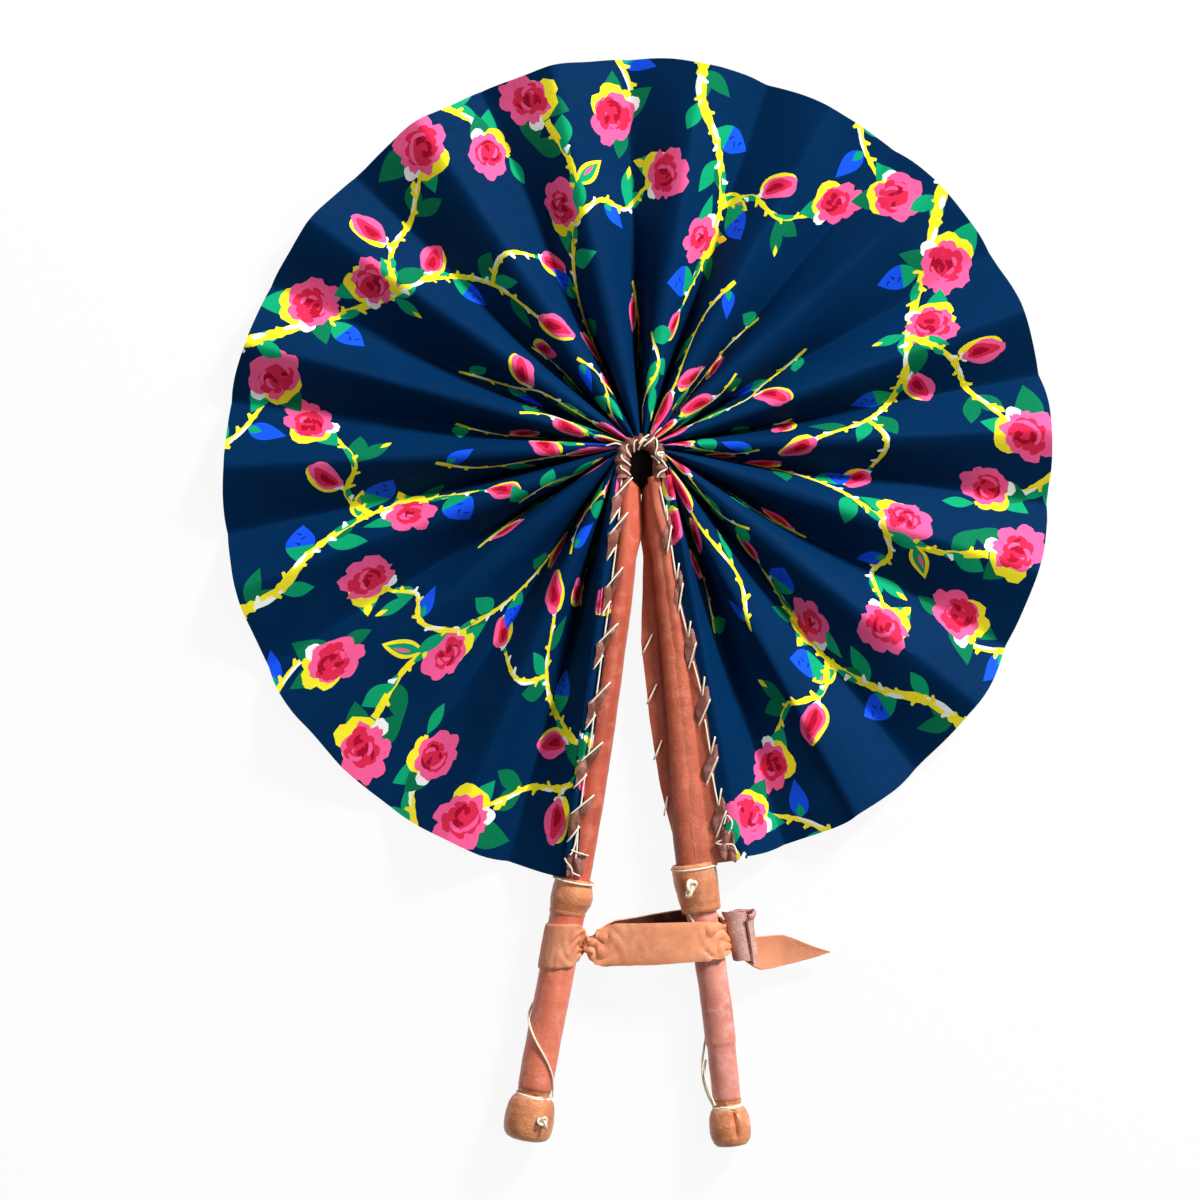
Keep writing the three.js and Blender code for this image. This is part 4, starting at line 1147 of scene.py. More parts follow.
class Edge:
    """The surface from a guard's cover to just over the leaf, with the seam along it.

    Places on it are given by the distance along the guard and by how far they are beyond the seam.
    """

    ROWS, COLUMNS, SMOOTHINGS = 220, 70, 24

    def __init__(self, guard):
        self.guard = guard
        reach = np.linspace(0.6, guard.sleeve_start + 8, 300)
        end = reach[edge_share(guard, reach) < guard.edge_end].max()
        self.distances = np.linspace(0.6, end, self.ROWS)
        wide, _ = guard.cover_size(self.distances)
        seam = along_rows(guard.seam, self.distances)
        start = np.clip(np.minimum(seam, 0.8 * wide) - 4.5, -3.5, 3)
        angles = 90 + np.degrees(np.arcsin(start / (wide + 0.4)))
        grid = edge_grid(guard, self.distances, angles)
        steps = np.linalg.norm(np.diff(grid, axis=1), axis=-1)
        reach = np.concatenate([np.zeros((self.ROWS, 1)), np.cumsum(steps, 1)], 1)
        self.length = reach[:, -1]
        _, gapward, _ = guard.axes(self.distances)
        rows, seams = [], []
        for row, along, side, middle, wanted in zip(grid, reach, gapward,
                                                    guard.centre(self.distances), seam):
            even = np.linspace(0, along[-1], self.COLUMNS)
            rows.append(np.stack([np.interp(even, along, row[:, i]) for i in range(3)], -1))
            seams.append(np.interp(wanted, -(rows[-1] - middle) @ side, even))
        self.grid, self.seam = np.array(rows), np.array(seams)
        for _ in range(self.SMOOTHINGS):
            near = (self.grid[:, :-2] + self.grid[:, 2:]) / 2
            self.grid[:, 1:-1] = (self.grid[:, 1:-1] + near) / 2
        self.normals = grid_normals(self.grid)
        self.normals *= np.sign(self.normals[..., 2].mean())

    def at(self, distance, beyond, lift):
        """Points at distances along the guard, beyond the seam and raised off the surface."""
        distance, beyond = np.broadcast_arrays(np.asarray(distance, float), beyond)
        rows, columns = self.grid.shape[:2]
        r = np.clip(np.interp(distance, self.distances, np.arange(rows)), 0, rows - 1.001)
        reach = np.interp(distance, self.distances, self.seam) + beyond
        length = np.interp(distance, self.distances, self.length)
        c = np.clip(reach / length * (columns - 1), 0, columns - 1.001)
        i, j = r.astype(int), c.astype(int)
        f, g = (r - i)[..., None], (c - j)[..., None]

        def mixed(grid):
            near = grid[i, j] * (1 - g) + grid[i, j + 1] * g
            far = grid[i + 1, j] * (1 - g) + grid[i + 1, j + 1] * g
            return near * (1 - f) + far * f

        lift = np.broadcast_to(lift, distance.shape)[..., None]
        return mixed(self.grid) + unit(mixed(self.normals)) * lift


LACE_THICKNESS, LACE_END_THICKNESS, LIP_THICKNESS = 0.6, 0.7, 0.5


def lace_piece(guard, name, grid, thickness):
    """A piece of lace on the sewn edge."""
    piece = sheet_solid(f"{guard.label}_{name}", grid, thickness, BINDING, guard.body,
                        "brown_leather")
    squash_at_edge(piece, guard)


def make_lace(guard, edge):
    """Turns of thin leather lace, drawn slantwise round the edge."""
    rng = random.Random(60 + guard.side)
    t = np.linspace(0, 1, 26)[:, None]
    w = np.linspace(-1, 1, 15)[None, :]
    table = np.array(guard.lace_shape)
    beyond, middle, half = (np.interp(t, table[:, 0], table[:, i]) for i in (1, 2, 3))
    for number, start in enumerate(guard.lace_starts, 1):
        distance = start + middle + half * rng.uniform(0.88, 1.1) * w
        lift = 1.25 - 0.5 * w**4 + 0.3 * np.sin(2.6 * w + 3 * t) - 0.9 * (1 - smooth(t, 0, 0.1))
        lift = lift - 0.7 * smooth(t, 0.85, 1.0)
        grid = edge.at(distance, beyond + 0 * w, lift)
        grid = lifted(grid, 0.35 * ripple(grid, 2.6, 8))
        lace_piece(guard, f"lace_{number:02d}", grid, LACE_THICKNESS)


def make_lace_end(guard, edge):
    """The crumpled end of the lace above the sleeve."""
    t = np.linspace(0, 1, 30)[:, None]
    w = np.linspace(-1, 1, 30)[None, :]
    if guard is LEFT:
        distance, beyond = 152 + 9.0 * t + 0.8 * w, -3.5 + 3.6 * (w + 1) * (1 - 0.1 * t)
        depth = 0.6
    else:
        distance, beyond = 143.5 + 12.5 * t + 1.2 * w, 0.4 + 3.8 * w * (1 - 0.25 * t)
        depth = 1.2
    grid = edge.at(np.minimum(distance, edge.distances[-1]) + 0 * w, beyond + 0 * t, 1.2)
    folds = depth * np.sin(5.5 * t + 2.2 * w + 1.2 * np.sin(3 * w)) + depth * ripple(grid, 3, 5)
    grid = lifted(grid, folds * (1 - 0.6 * w**4))
    lace_piece(guard, "lace_end", grid, LACE_END_THICKNESS)


def make_lip(guard, edge):
    """The leather between the right cover and its seam, with painted shade where it goes under the cover.
    """
    rows = edge.distances < guard.sleeve_start + 1
    share = np.linspace(0, 1, 36)
    beyond = (share - 1) * (edge.seam[rows, None] + 0.5) + 0.5
    grid = edge.at(edge.distances[rows, None], beyond, -0.9 + 1.5 * smooth(share, 0, 0.4))
    grid = lifted(grid, 0.35 * ripple(grid, 6, 3))
    lip = sheet_solid(f"{guard.label}_edge_leather", grid, LIP_THICKNESS, BROWN_GUARD, guard.body,
                      "brown_leather")
    # Painted shade where the leather goes under the cover.
    dark = np.broadcast_to(1 - smooth(share, 0.1, 0.42), grid.shape[:2])
    painted_shade(lip, [dark * (0.7 + 0.3 * ripple(grid, 9, 6)), 0 * dark])
    squash_at_edge(lip, guard)


def make_binding(guard):
    """What lies between the cover and the leaf: the seam, the cloth beyond it and the lace."""
    edge = Edge(guard)
    make_edge_cloth(guard, edge)
    if guard is RIGHT:
        make_lip(guard, edge)
    make_lace(guard, edge)
    make_lace_end(guard, edge)
    sewn = threads(f"{guard.label}_edge_stitches", stitch_lines(guard, edge), guard.body,
                   radius=FINE_THREAD)
    squash_at_edge(sewn, guard)


EDGE_CLOTH_THICKNESS = 0.35


def make_edge_cloth(guard, edge):
    """The leaf's own cloth, carried on over its sewn edge to the seam."""
    last = 1.4 + (edge.length - edge.seam) - EDGE_DROP
    beyond = -0.6 + (last[:, None] + 0.6) * np.linspace(0, 1, 30)[None, :]
    grid = edge.at(edge.distances[:, None], beyond, 0.25)
    piece = sheet_solid(f"{guard.label}_edge_cloth", grid, EDGE_CLOTH_THICKNESS, CLOTH, guard.body,
                        "printed_cloth", f"{guard.label}_binding")
    first = FLAT[0] if guard is LEFT else FLAT[-1]
    flat = np.stack([first + guard.side * (last[:, None] - beyond),
                     np.broadcast_to(edge.distances[:, None], beyond.shape)], -1).reshape(-1, 2)
    both = np.concatenate([flat, flat])
    middles = np.array([both[list(face.vertices)].mean(0) for face in piece.data.polygons])
    low, high = middles[:, 0].min() - 5, middles[:, 0].max() + 5
    near = [s for s in SHAPES if low < s[1][:, 0].max() and s[1][:, 0].min() < high]
    paint_cloth(piece.data, ink_of(middles, near), flat)
    widths = np.linalg.norm(np.diff(grid, axis=1), axis=-1).sum(1)
    area = float(widths.mean() * np.ptp(edge.distances)) * MM * MM
    squash_at_edge(piece, guard)


def squash_at_edge(piece, guard):
    """On the right guard, the piece gets its own copy of its mesh."""
    if guard is RIGHT:
        run = unit(guard.line[7] - guard.line[0])
        -run[1]
        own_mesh(piece)


def make_sleeve(guard):
    """A short tan sleeve over the joint of cover and grip."""
    start, end = guard.sleeve_start, guard.sleeve_end
    distance, angle = rings(np.linspace(start, end, 34))
    share = (distance - start) / (end - start)
    near = smooth(np.cos(np.radians(angle)), *guard.sleeve_turn)
    fuller = guard.sleeve_far_side + (1 - guard.sleeve_far_side) * near
    radius = guard.sleeve + along_rows(guard.sleeve_shape, share) * fuller
    radius = radius + 0.12 * (bump(share, 0.93, 0.05) - bump(share, 0.85, 0.03))
    radius = radius + 0.4 * bump(angle, 300, 8)
    rows = creased(guard.around(distance, angle, radius, radius), 0.22, 5.0, 11 + guard.side)
    hollow_tube(f"{guard.label}_sleeve_leather", rows, SLEEVE_WALL, TAN, guard.body, "tan_leather",
                f"{guard.label}_sleeve")


def make_grip(guard):
    """Leather glued round the stick, with its overlap along the underside."""
    start = (guard.sleeve_start + guard.sleeve_end) / 2 + 0.4
    distance, angle = rings(np.linspace(start, guard.cap_start - 0.2, 110))
    lap = 0.35 * smooth(angle, 232, 236) * (1 - smooth(angle, 250, 330))
    step = 0.45 * (1 - smooth(distance, 228.0, 229.5)) if guard is RIGHT else 0.0
    radius = guard.grip + lap + step - 0.2
    rows = creased(guard.around(distance, angle, radius, radius), 0.16, 7.0, 23 + guard.side)
    hollow_tube(f"{guard.label}_grip_leather", rows, GRIP_WALL, guard.grip_look, guard.body,
                "red_leather", f"{guard.label}_grip")


def make_cap(guard):
    """A piece of leather drawn over the stick's end and tied, with its gathers and a pucker."""
    shares = np.concatenate([np.linspace(0, 0.2, 18), np.linspace(0.22, 1, 44)])
    distance, angle = rings(guard.cap_start + shares * guard.cap_length)
    share = (distance - guard.cap_start) / guard.cap_length
    radius = along_rows(guard.cap_shape, share)
    gather = np.sin(np.radians(angle) * 9 + 1.2 * np.sin(np.radians(angle) * 2))
    radius = radius + 0.28 * gather * bump(share, 0.12, 0.16)
    if guard is RIGHT:
        away = np.stack([(angle - 106) / 60, (share - 0.18) / 0.4], -1)
        fold = np.sin(np.arctan2(away[..., 1], away[..., 0]) * 7) * np.exp(-np.hypot(*away.T).T * 1.6)
        slit = bump(angle, 108, 6) * smooth(share, 0.16, 0.3)
        radius = radius - 2.0 * slit * (1 - smooth(share, 0.62, 0.92)) + 0.45 * fold
    else:
        radius = radius - 1.6 * bump(angle, 84, 9) * bump(share, 0.13, 0.05)
    rows = creased(guard.around(distance, angle, radius, radius), 0.2, 5.0, 31 + guard.side)
    ring_solid(f"{guard.label}_cap_leather", rows, TAN, guard.body, "tan_leather",
               f"{guard.label}_cap")


# Threads
FINE_THREAD, THICK_THREAD, THREAD_STEP = 0.36, 0.45, 0.9


class Tree:
    """A Geometry Nodes tree of this object's, with named inputs."""

    def __init__(self, name, **sizes):
        self.tree = bpy.data.node_groups.new(name, "GeometryNodeTree")
        face = self.tree.interface
        face.new_socket("Geometry", in_out="INPUT", socket_type="NodeSocketGeometry")
        face.new_socket("Geometry", in_out="OUTPUT", socket_type="NodeSocketGeometry")
        for label, value in sizes.items():
            kind = "NodeSocketInt" if isinstance(value, int) else "NodeSocketFloat"
            socket = face.new_socket(label, in_out="INPUT", socket_type=kind)
            socket.default_value = value
        self.given = self.tree.nodes.new("NodeGroupInput")
        self.result = self.tree.nodes.new("NodeGroupOutput")

    def node(self, kind, settings=None, **links):
        made = self.tree.nodes.new(kind)
        for key, value in (settings or {}).items():
            setattr(made, key, value)
        for key, value in links.items():
            socket = made.inputs[key.replace("_", " ")]
            if isinstance(value, bpy.types.NodeSocket):
                self.tree.links.new(value, socket)
            else:
                socket.default_value = value
        return made

    def input(self, label):
        return self.given.outputs[label]

    def finish(self, socket, material):
        whole = self.node("GeometryNodeRealizeInstances", None, Geometry=socket)
        made = self.node("GeometryNodeSetMaterial", None, Geometry=whole.outputs[0])
        made.inputs["Material"].default_value = material
        self.tree.links.new(made.outputs[0], self.result.inputs[0])
        return self.tree


def thread_tree():
    """Round thread along each line, with even steps."""
    tree = Tree("twisted_thread", Radius=THICK_THREAD * MM, Spacing=THREAD_STEP * MM)
    line = tree.node("GeometryNodeMeshToCurve", None, Mesh=tree.input("Geometry"))
    even = tree.node("GeometryNodeResampleCurve", {"mode": "LENGTH"},
                     Curve=line.outputs[0], Length=tree.input("Spacing"))
    profile = tree.node("GeometryNodeCurvePrimitiveCircle", None,
                        Resolution=7, Radius=tree.input("Radius"))
    tube = tree.node("GeometryNodeCurveToMesh", None, Curve=even.outputs[0])
    tree.tree.links.new(profile.outputs["Curve"], tube.inputs["Profile Curve"])
    tube.inputs["Fill Caps"].default_value = True
    soft = tree.node("GeometryNodeSetShadeSmooth", None, Geometry=tube.outputs[0])
    return tree.finish(soft.outputs[0], THREAD)


THREAD_TREE = thread_tree()


def baked(name, points, edges, tree, **sizes):
    """A plain mesh of what a tree makes from points and lines in millimetres."""
    mesh = bpy.data.meshes.new(name)
    mesh.from_pydata(in_metres(points), edges, [])
    source = placed(name, mesh)
    modifier = source.modifiers.new("made", "NODES")
    modifier.node_group = tree
    for item in tree.interface.items_tree:
        if item.in_out == "INPUT" and item.name in sizes:
            modifier[item.identifier] = sizes[item.name]
    graph = bpy.context.evaluated_depsgraph_get()
    graph.update()
    made = bpy.data.meshes.new_from_object(source.evaluated_get(graph))
    source.modifiers.remove(modifier)
    source.data = made
    bpy.data.meshes.remove(mesh)
    made.name = name
    return source


def threads(name, lines, body, *nodes, radius):
    """Thread along each of the lines."""
    points, edges = [], []
    for line in lines:
        start = len(points)
        points += list(line)
        edges += [(start + i, start + i + 1) for i in range(len(line) - 1)]
    piece = baked(name, points, edges, THREAD_TREE, Radius=radius * MM)
    return seat_piece(piece, body, "thread", *nodes)


def taut(edge, start, end, rise):
    """A stitch pulled straight from one place of the edge to another, clear of what is between."""
    t = np.linspace(0, 1, 18)
    start, end = np.array(start, float), np.array(end, float)
    below = edge.at(*(start + (end - start) * t[:, None]).T, 1.1)
    line = below[0] + (below[-1] - below[0]) * t[:, None]
    clear = np.maximum(below[:, 2] - line[:, 2], 0).max() * np.sin(np.pi * t) ** 0.7
    line[:, 2] += clear + rise * np.sin(np.pi * t) ** 0.5
    line[:, 2] -= 1.3 * (1 - smooth(t, 0, 0.06)) + 1.3 * smooth(t, 0.94, 1.0)
    return line


def stitch_lines(guard, edge):
    """The seam's long thread, its slanting stitches over the edge and its loose ends."""
    rng = random.Random(40 + guard.side)
    lines = []
    if guard is LEFT:
        places = np.arange(1.5, guard.sleeve_start - 8, 1.2)
        wander = 0.3 * ripple(np.stack([places, 0 * places, 0 * places], -1), 9, guard.side)
        lines.append(edge.at(places, 0.6 * wander, 1.35))
    for start in guard.lace_starts:
        for a, first, b, last in guard.stitches:
            a = max(1.0, start + a + rng.uniform(-0.4, 0.4))
            b = start + b + rng.uniform(-0.4, 0.4)
            lines.append(taut(edge, (a, first), (b, last), rng.uniform(0.5, 0.9)))
    if guard is LEFT:
        t = np.linspace(0, 1, 14)
        lines.append(edge.at(151 + 1.0 * t, 3.2 - 7.4 * t, 1.6))
        lines.append(edge.at(153 - 9 * t, 3.2 - 2.8 * t, 1.5))
        hook = [(154.5, 4.2), (157.0, 3.0), (159.4, 0.6), (160.4, -2.4)]
        lines.append(edge.at(*curve_through(hook, 0.8).T, 2.2))
    else:
        for points in (((144, 3.2), (147, 0.4), (148.4, -3.6), (149.4, 0), (149.8, 3.4), (153.4, 4.4)),
                       ((143.4, 3.6), (140.4, 4.4), (137.6, 3.0), (141, 1.2))):
            lines.append(edge.at(*curve_through(points, 0.8).T, 2.4))
    return lines


def wing_stitches(guard):
    """Short slanting stitches over the sewn lip of the right guard."""
    lines = []
    for distance in (63.0, 83.0, 105.5, 128.0):
        wide, _ = guard.cover_size(distance)
        _, gapward, up = guard.axes(distance)
        t = np.linspace(0, 1, 10)[:, None]
        out = wide + wing_reach(guard, distance) * (0.25 + 0.8 * t)
        lift = 2.0 - 0.7 * t - 1.2 * smooth(t, 0.85, 1.0)
        lines.append(guard.centre(distance + 7.5 * t[:, 0]) + gapward * out + up * lift)
    return lines


def ring_line(guard, distance, radius, turns, start, rise):
    """Thread wound round a guard from a starting angle, a little aslant."""
    angles = np.linspace(start, start + 360 * turns, int(40 * turns) + 1)
    drift = np.linspace(0, rise, len(angles))
    places = distance + drift + 0.5 * np.sin(np.radians(angles))
    return guard.around(places, angles, radius, radius)


def tail_line(guard, places):
    """Loose thread from the cap's tie up the grip: rows of distance up, angle and lift."""
    up, angle, lift = curve_through(places, 0.8).T
    radius = guard.grip + lift + 0.1
    return guard.around(guard.cap_start + 1.6 - up, angle, radius, radius)


def make_ties(guard):
    """The threads round the sleeve's upper end and the cap's neck, with their tails."""
    label, top = guard.label, guard.sleeve_start + guard.sleeve_thread_drop
    lines = [ring_line(guard, top, guard.sleeve + 0.75, 1.02, 200, 0.3)]
    threads(f"{label}_sleeve_thread", lines, guard.body, f"{label}_sleeve_tie", radius=0.42)
    neck = guard.cap_start + 0.10 * guard.cap_length
    lines = [ring_line(guard, neck, guard.cap_thread, 2.05, 60, 1.1)]
    lines += [tail_line(guard, places) for places in guard.tails]
    threads(f"{label}_cap_thread", lines, guard.body, f"{label}_cap_tie", radius=THICK_THREAD)


for guard in (LEFT, RIGHT):
    make_cover(guard)
    make_binding(guard)
    make_sleeve(guard)
    make_grip(guard)
    make_cap(guard)
    make_ties(guard)
threads("right_wing_stitches", wing_stitches(RIGHT), RIGHT.body, radius=FINE_THREAD)


def make_knot(name, centre, size, turn, body, node, radius):
    """A small knot of thread, pulled tight, in a box of the given size."""
    t = np.linspace(0, 2 * np.pi, 80)
    loops = np.stack([np.sin(t) + 2 * np.sin(2 * t), np.cos(t) - 2 * np.cos(2 * t),
                      -2.2 * np.sin(3 * t)], -1)
    loops = loops / np.ptp(loops, axis=0) * (np.array(size) - 2 * radius)
    loops[:, :2] = turned(loops[:, :2], turn)
    threads(name, [loops + centre], body, node, radius=radius)


make_knot("hub_thread_knot", (9.37, 58.75, 21.9), (3.4, 3.4, 3.0), 0, "hub", "hub_knot", 0.5)
make_knot("left_cap_thread_knot", (-37.3, -206.4, 20.24), (4.6, 5.4, 2.9), 20, "left_guard",
          "left_cap_knot", 0.55)
make_knot("right_sleeve_thread_knot", (21.4, -113.1, 20.3), (4.6, 8.2, 3.2), -18, "right_guard",
          "right_sleeve_knot", 0.75)

# Strap
STRAP_TURN = 1.6
EYE_CENTRE = np.array([-30.0, -136.9, 10.0])
STRAP_THICKNESS = 1.3
EYE_RADIUS, EYE_HALF_WIDTH = 8.5, 9.0
LEFT_GRIP_SLOPE, RIGHT_GRIP_SLOPE = 0.2094, -0.1523
RIGHT_GRIP = np.array([57.96, -0.338])
LOOP_RADIUS, LOOP_HALF_WIDTH = 7.9, 8.2
PINCH_X = 9.0
KEEPER_X, KEEPER_RISE, KEEPER_HALF_WIDTH, KEEPER_THICKNESS = 71.9, 1.8, 9.8, 1.2


def strap_points(x, y, z):
    """Points of the strap's own frame: X from the left grip to the right one, Y along them."""
    x, y, z = np.broadcast_arrays(x, y, z)
    flat = turned(np.stack([x, y], -1), STRAP_TURN)
    return np.concatenate([flat, z[..., None]], -1) + EYE_CENTRE


def gathers(x, y, reach, count, seed):
    """Folds that run out from a tied place at the origin and die away."""
    away = np.hypot(x, y)
    turn = np.arctan2(y, np.abs(x) + 0.4)
    bends = 0.35 * np.sin(seed + away * 0.7)
    return np.sin(count * (turn + bends) + seed) * np.exp(-away / reach) * smooth(away, 0, 1.5)


def make_eye():
    """The strap's end sewn into a band round the left grip and gathered to the pinch."""
    angles = np.linspace(0, 360, 96, endpoint=False)
    across = np.linspace(-1, 1, 30)
    share, angle = np.meshgrid(across, angles, indexing="ij")
    near = (angle + 180) % 360 - 180
    drawn = 1 - 0.42 * bump(near, 0, 30)
    y = share * EYE_HALF_WIDTH * drawn
    arc = np.radians(near) * EYE_RADIUS
    radius = EYE_RADIUS - 0.25 + 0.9 * gathers(arc, y, 8.0, 9, 1.0)
    radius = radius + 0.9 * bump(near, 0, 16) - 0.3 * share**6
    x = radius * np.cos(np.radians(angle)) + LEFT_GRIP_SLOPE * y
    rows = strap_points(x, y, radius * np.sin(np.radians(angle)))
    rows = creased(rows, 0.12, 6.0, 51)
    # The eye has the pale leather's darker copy, with painted shade.
    hollow_tube("strap_eye_leather", rows, STRAP_THICKNESS, PALE_PAINTED_SHADE, "strap", "pale_leather",
                "strap_eye")


def make_loop():
    """Two runs of the strap, tied together at the eye and passed round the right grip."""
    bend = np.radians(np.linspace(90, -90, 26))
    run = np.linspace(0, 1, 40)[:-1]
    top = np.stack([PINCH_X + (RIGHT_GRIP[0] - PINCH_X) * run,
                    1.5 + (RIGHT_GRIP[1] + LOOP_RADIUS - 1.5) * smooth(run, -0.12, 0.9)], -1)
    end = RIGHT_GRIP + LOOP_RADIUS * np.stack([np.cos(bend), np.sin(bend)], -1)
    low = np.stack([top[::-1, 0], -top[::-1, 1] - 0.4], -1)
    path = np.concatenate([top, end, low])
    along = np.concatenate([0 * run, np.linspace(0, 1, 26), 0 * run + 1])
    across = np.linspace(-1, 1, 26)
    share = smooth(path[:, 0] - PINCH_X, 0, 15)[:, None]
    front = (along < 0.5)[:, None]
    upper = LOOP_HALF_WIDTH * (0.3 + 0.7 * share**0.8)
    lower = LOOP_HALF_WIDTH * (0.3 + 0.7 * np.where(front, smooth(share, 0, 0.3), share))
    lower = lower - 1.3 * smooth(path[:, :1], 30, 60)
    tight = bump(path[:, :1], 66.4, 4.2)
    y = np.where(across > 0, across * upper, across * lower) * (1 - 0.24 * tight)
    back = smooth(along, 0.3, 1.0)[:, None] * smooth(path[:, 0], 12, 62)[:, None]
    y = y + 4.4 * back
    slope = LEFT_GRIP_SLOPE + (RIGHT_GRIP_SLOPE - LEFT_GRIP_SLOPE) * share
    x = path[:, :1] + slope * (y - 4.4 * back)
    z = path[:, 1:] + 0 * y
    from_pinch = gathers(path[:, :1] - PINCH_X, y, 9.0, 8, 2.2)
    from_end = gathers(path[:, :1] - 69.5, y + 0.2, 9.0, 9, 0.4)
    grid = strap_points(x, y, z)
    out = grid_normals(grid)
    if out[10, 12, 2] < 0:
        out = -out
    swell = 1.1 * from_pinch + 1.5 * from_end * smooth(path[:, :1], 50, 60)
    grid = grid + out * (swell + 0.2 * ripple(grid, 9, 5) - 0.35 * across**6)[..., None]
    # The loop's inner face has painted shade.
    sheet_solid("strap_loop_leather", grid, STRAP_THICKNESS, PALE, "strap", "pale_leather",
                "strap_loop", inside=SHADED)


def make_keeper():
    """The rolled roughout leather that the tail comes out of, with a lip at its upper end."""
    turn = np.linspace(0, 2 * np.pi * 2.15, 130)
    across = np.linspace(-1, 1, 34)
    angle, share = np.meshgrid(turn, across, indexing="ij")
    radius = 1.6 + 2.35 * angle / (2 * np.pi)
    waist = along_rows([(-1, 0.8), (-0.6, 0.9), (0.1, 0.96), (0.45, 0.98), (0.66, 1.0), (0.8, 1.2),
                        (0.92, 1.3), (1, 1.16)], share)
    y = share * KEEPER_HALF_WIDTH
    outer = smooth(angle, 7, 12)
    y = y + outer * (0.7 * np.sin(angle * 1.7) + 0.4 * np.sin(angle * 4.1)) * np.abs(share) ** 3
    radius = radius * (1 + (waist - 1) * outer)
    x = KEEPER_X + radius * np.cos(angle) + RIGHT_GRIP_SLOPE * (y + KEEPER_RISE)
    grid = strap_points(x, y + KEEPER_RISE, 0.94 * radius * np.sin(angle))
    out = grid_normals(grid)
    centre = strap_points(KEEPER_X + RIGHT_GRIP_SLOPE * y, y, 0)
    if ((grid - centre) * out).sum(-1).mean() < 0:
        out = -out
    rough = 0.28 * ripple(grid, 3.2, 9) + 0.14 * ripple(grid, 1.3, 4)
    grid = grid + out * (rough * outer)[..., None]
    sheet_solid("strap_keeper_leather", grid, KEEPER_THICKNESS, FLESH, "strap", "flesh_leather",
                "strap_keeper")


# The tail's upper and lower edges at places along the strap
TAIL_ROWS = [
    (71.6, -0.2, -6.8), (73.6, 0.8, -8.8), (76.3, 1.2, -10.8), (79.2, 1.2, -12.2),
    (81.0, 1.2, -12.3), (84.8, 1.3, -11.9), (89.0, 1.3, -11.0), (93.3, -0.3, -10.1),
    (97.8, -2.3, -9.0), (102.3, -4.1, -7.9), (105.4, -5.2, -6.9), (107.4, -5.8, -6.3),
]


def make_tail():
    """The flat pointed end of the strap."""
    xs = np.linspace(TAIL_ROWS[0][0], TAIL_ROWS[-1][0], 44)
    table = np.array(TAIL_ROWS)
    upper, lower = (np.interp(xs, table[:, 0], table[:, i])[:, None] for i in (1, 2))
    across = np.linspace(-1, 1, 18)
    y = lower + (upper - lower) * (across + 1) / 2
    along = ((xs - xs[0]) / (xs[-1] - xs[0]))[:, None]
    z = 0.6 - 6.3 * smooth(along, 0.0, 0.5) + 1.6 * along + 0.9 * (1 - along) * (across**2 - 0.4)
    grid = strap_points(xs[:, None] + 0 * y, y, z + 0 * y)
    grid = lifted(grid, 0.25 * ripple(grid, 8, 6))
    # The tail has the pale leather's darker copy, with painted shade.
    sheet_solid("strap_tail_leather", grid, STRAP_THICKNESS, PALE_PAINTED_SHADE, "strap", "pale_leather",
                "strap_tail")


make_eye()
make_loop()
make_keeper()
make_tail()


# Hub
ARCH_MIDDLE = (ARCH_RADIUS + ARCH_HOLE) / 2
ARCH_HALF = (ARCH_RADIUS - ARCH_HOLE) / 2
ARCH_LEG = 7.0
ARCH_ROUND_HEIGHT = 17.0
STITCH_LIFT = 0.35


def arch_path():
    """Middle line of the arch from its left foot to its right one, and the way out from it."""
    half = math.pi * ARCH_MIDDLE
    travel = np.linspace(-ARCH_LEG, half + ARCH_LEG, 70)
    angle = np.pi - np.clip(travel, 0, half) / ARCH_MIDDLE
    below = np.maximum(-travel, 0) + np.maximum(travel - half, 0)
    out = np.stack([np.cos(angle), np.sin(angle)], -1)
    middle = HUB + [0, ARCH_Y] + out * ARCH_MIDDLE - [0, 1] * below[:, None]
    return travel, middle, out


def make_arch():
    """The leather bound round the pleats' inner ends, over the hub."""
    travel, middle, out = arch_path()
    top = [(ARCH_HALF * math.cos(a), ARCH_ROUND_HEIGHT + ARCH_HALF * math.sin(a))
           for a in np.linspace(0, math.pi, 17)]
    inner = [(-ARCH_HALF, z) for z in (14, 11, 8, 5, 2.5, 0.4)]
    outer = [(ARCH_HALF, z) for z in (0.4, 2.5, 5, 8, 11, 14)]
    section = np.array(top + inner + outer)
    rows = middle[:, None] + out[:, None] * section[None, :, :1]
    level = np.broadcast_to(section[:, 1:], (*rows.shape[:2], 1))
    rows = np.concatenate([rows, level], -1)
    dent = 0.45 * np.cos(2 * np.pi * travel / 3.9)[:, None] * smooth(section[:, 1], 12, 18)
    away = rows - np.concatenate([middle, np.full((len(middle), 1), 10.0)], -1)[:, None]
    rows = rows + unit(away) * (dent + 0.25 * ripple(rows, 4, 2))[..., None]
    ring_solid("hub_arch_leather", rows, BINDING, "hub", "brown_leather", "hub_arch")


def on_arch(place, side):
    """Points on the arch's rounded top, at a distance round it and a share across it."""
    travel, middle, out = arch_path()
    place, side = np.broadcast_arrays(np.asarray(place, float), side)
    x, y = (np.interp(place, travel, middle[:, i]) for i in (0, 1))
    away = np.stack([np.interp(place, travel, out[:, i]) for i in (0, 1)], -1)
    reach = ARCH_HALF + STITCH_LIFT
    flat = np.stack([x, y], -1) + away * (reach * side)[:, None]
    level = ARCH_ROUND_HEIGHT + reach * np.sqrt(np.clip(1 - side**2, 0, 1))
    return np.concatenate([flat, level[:, None]], -1)


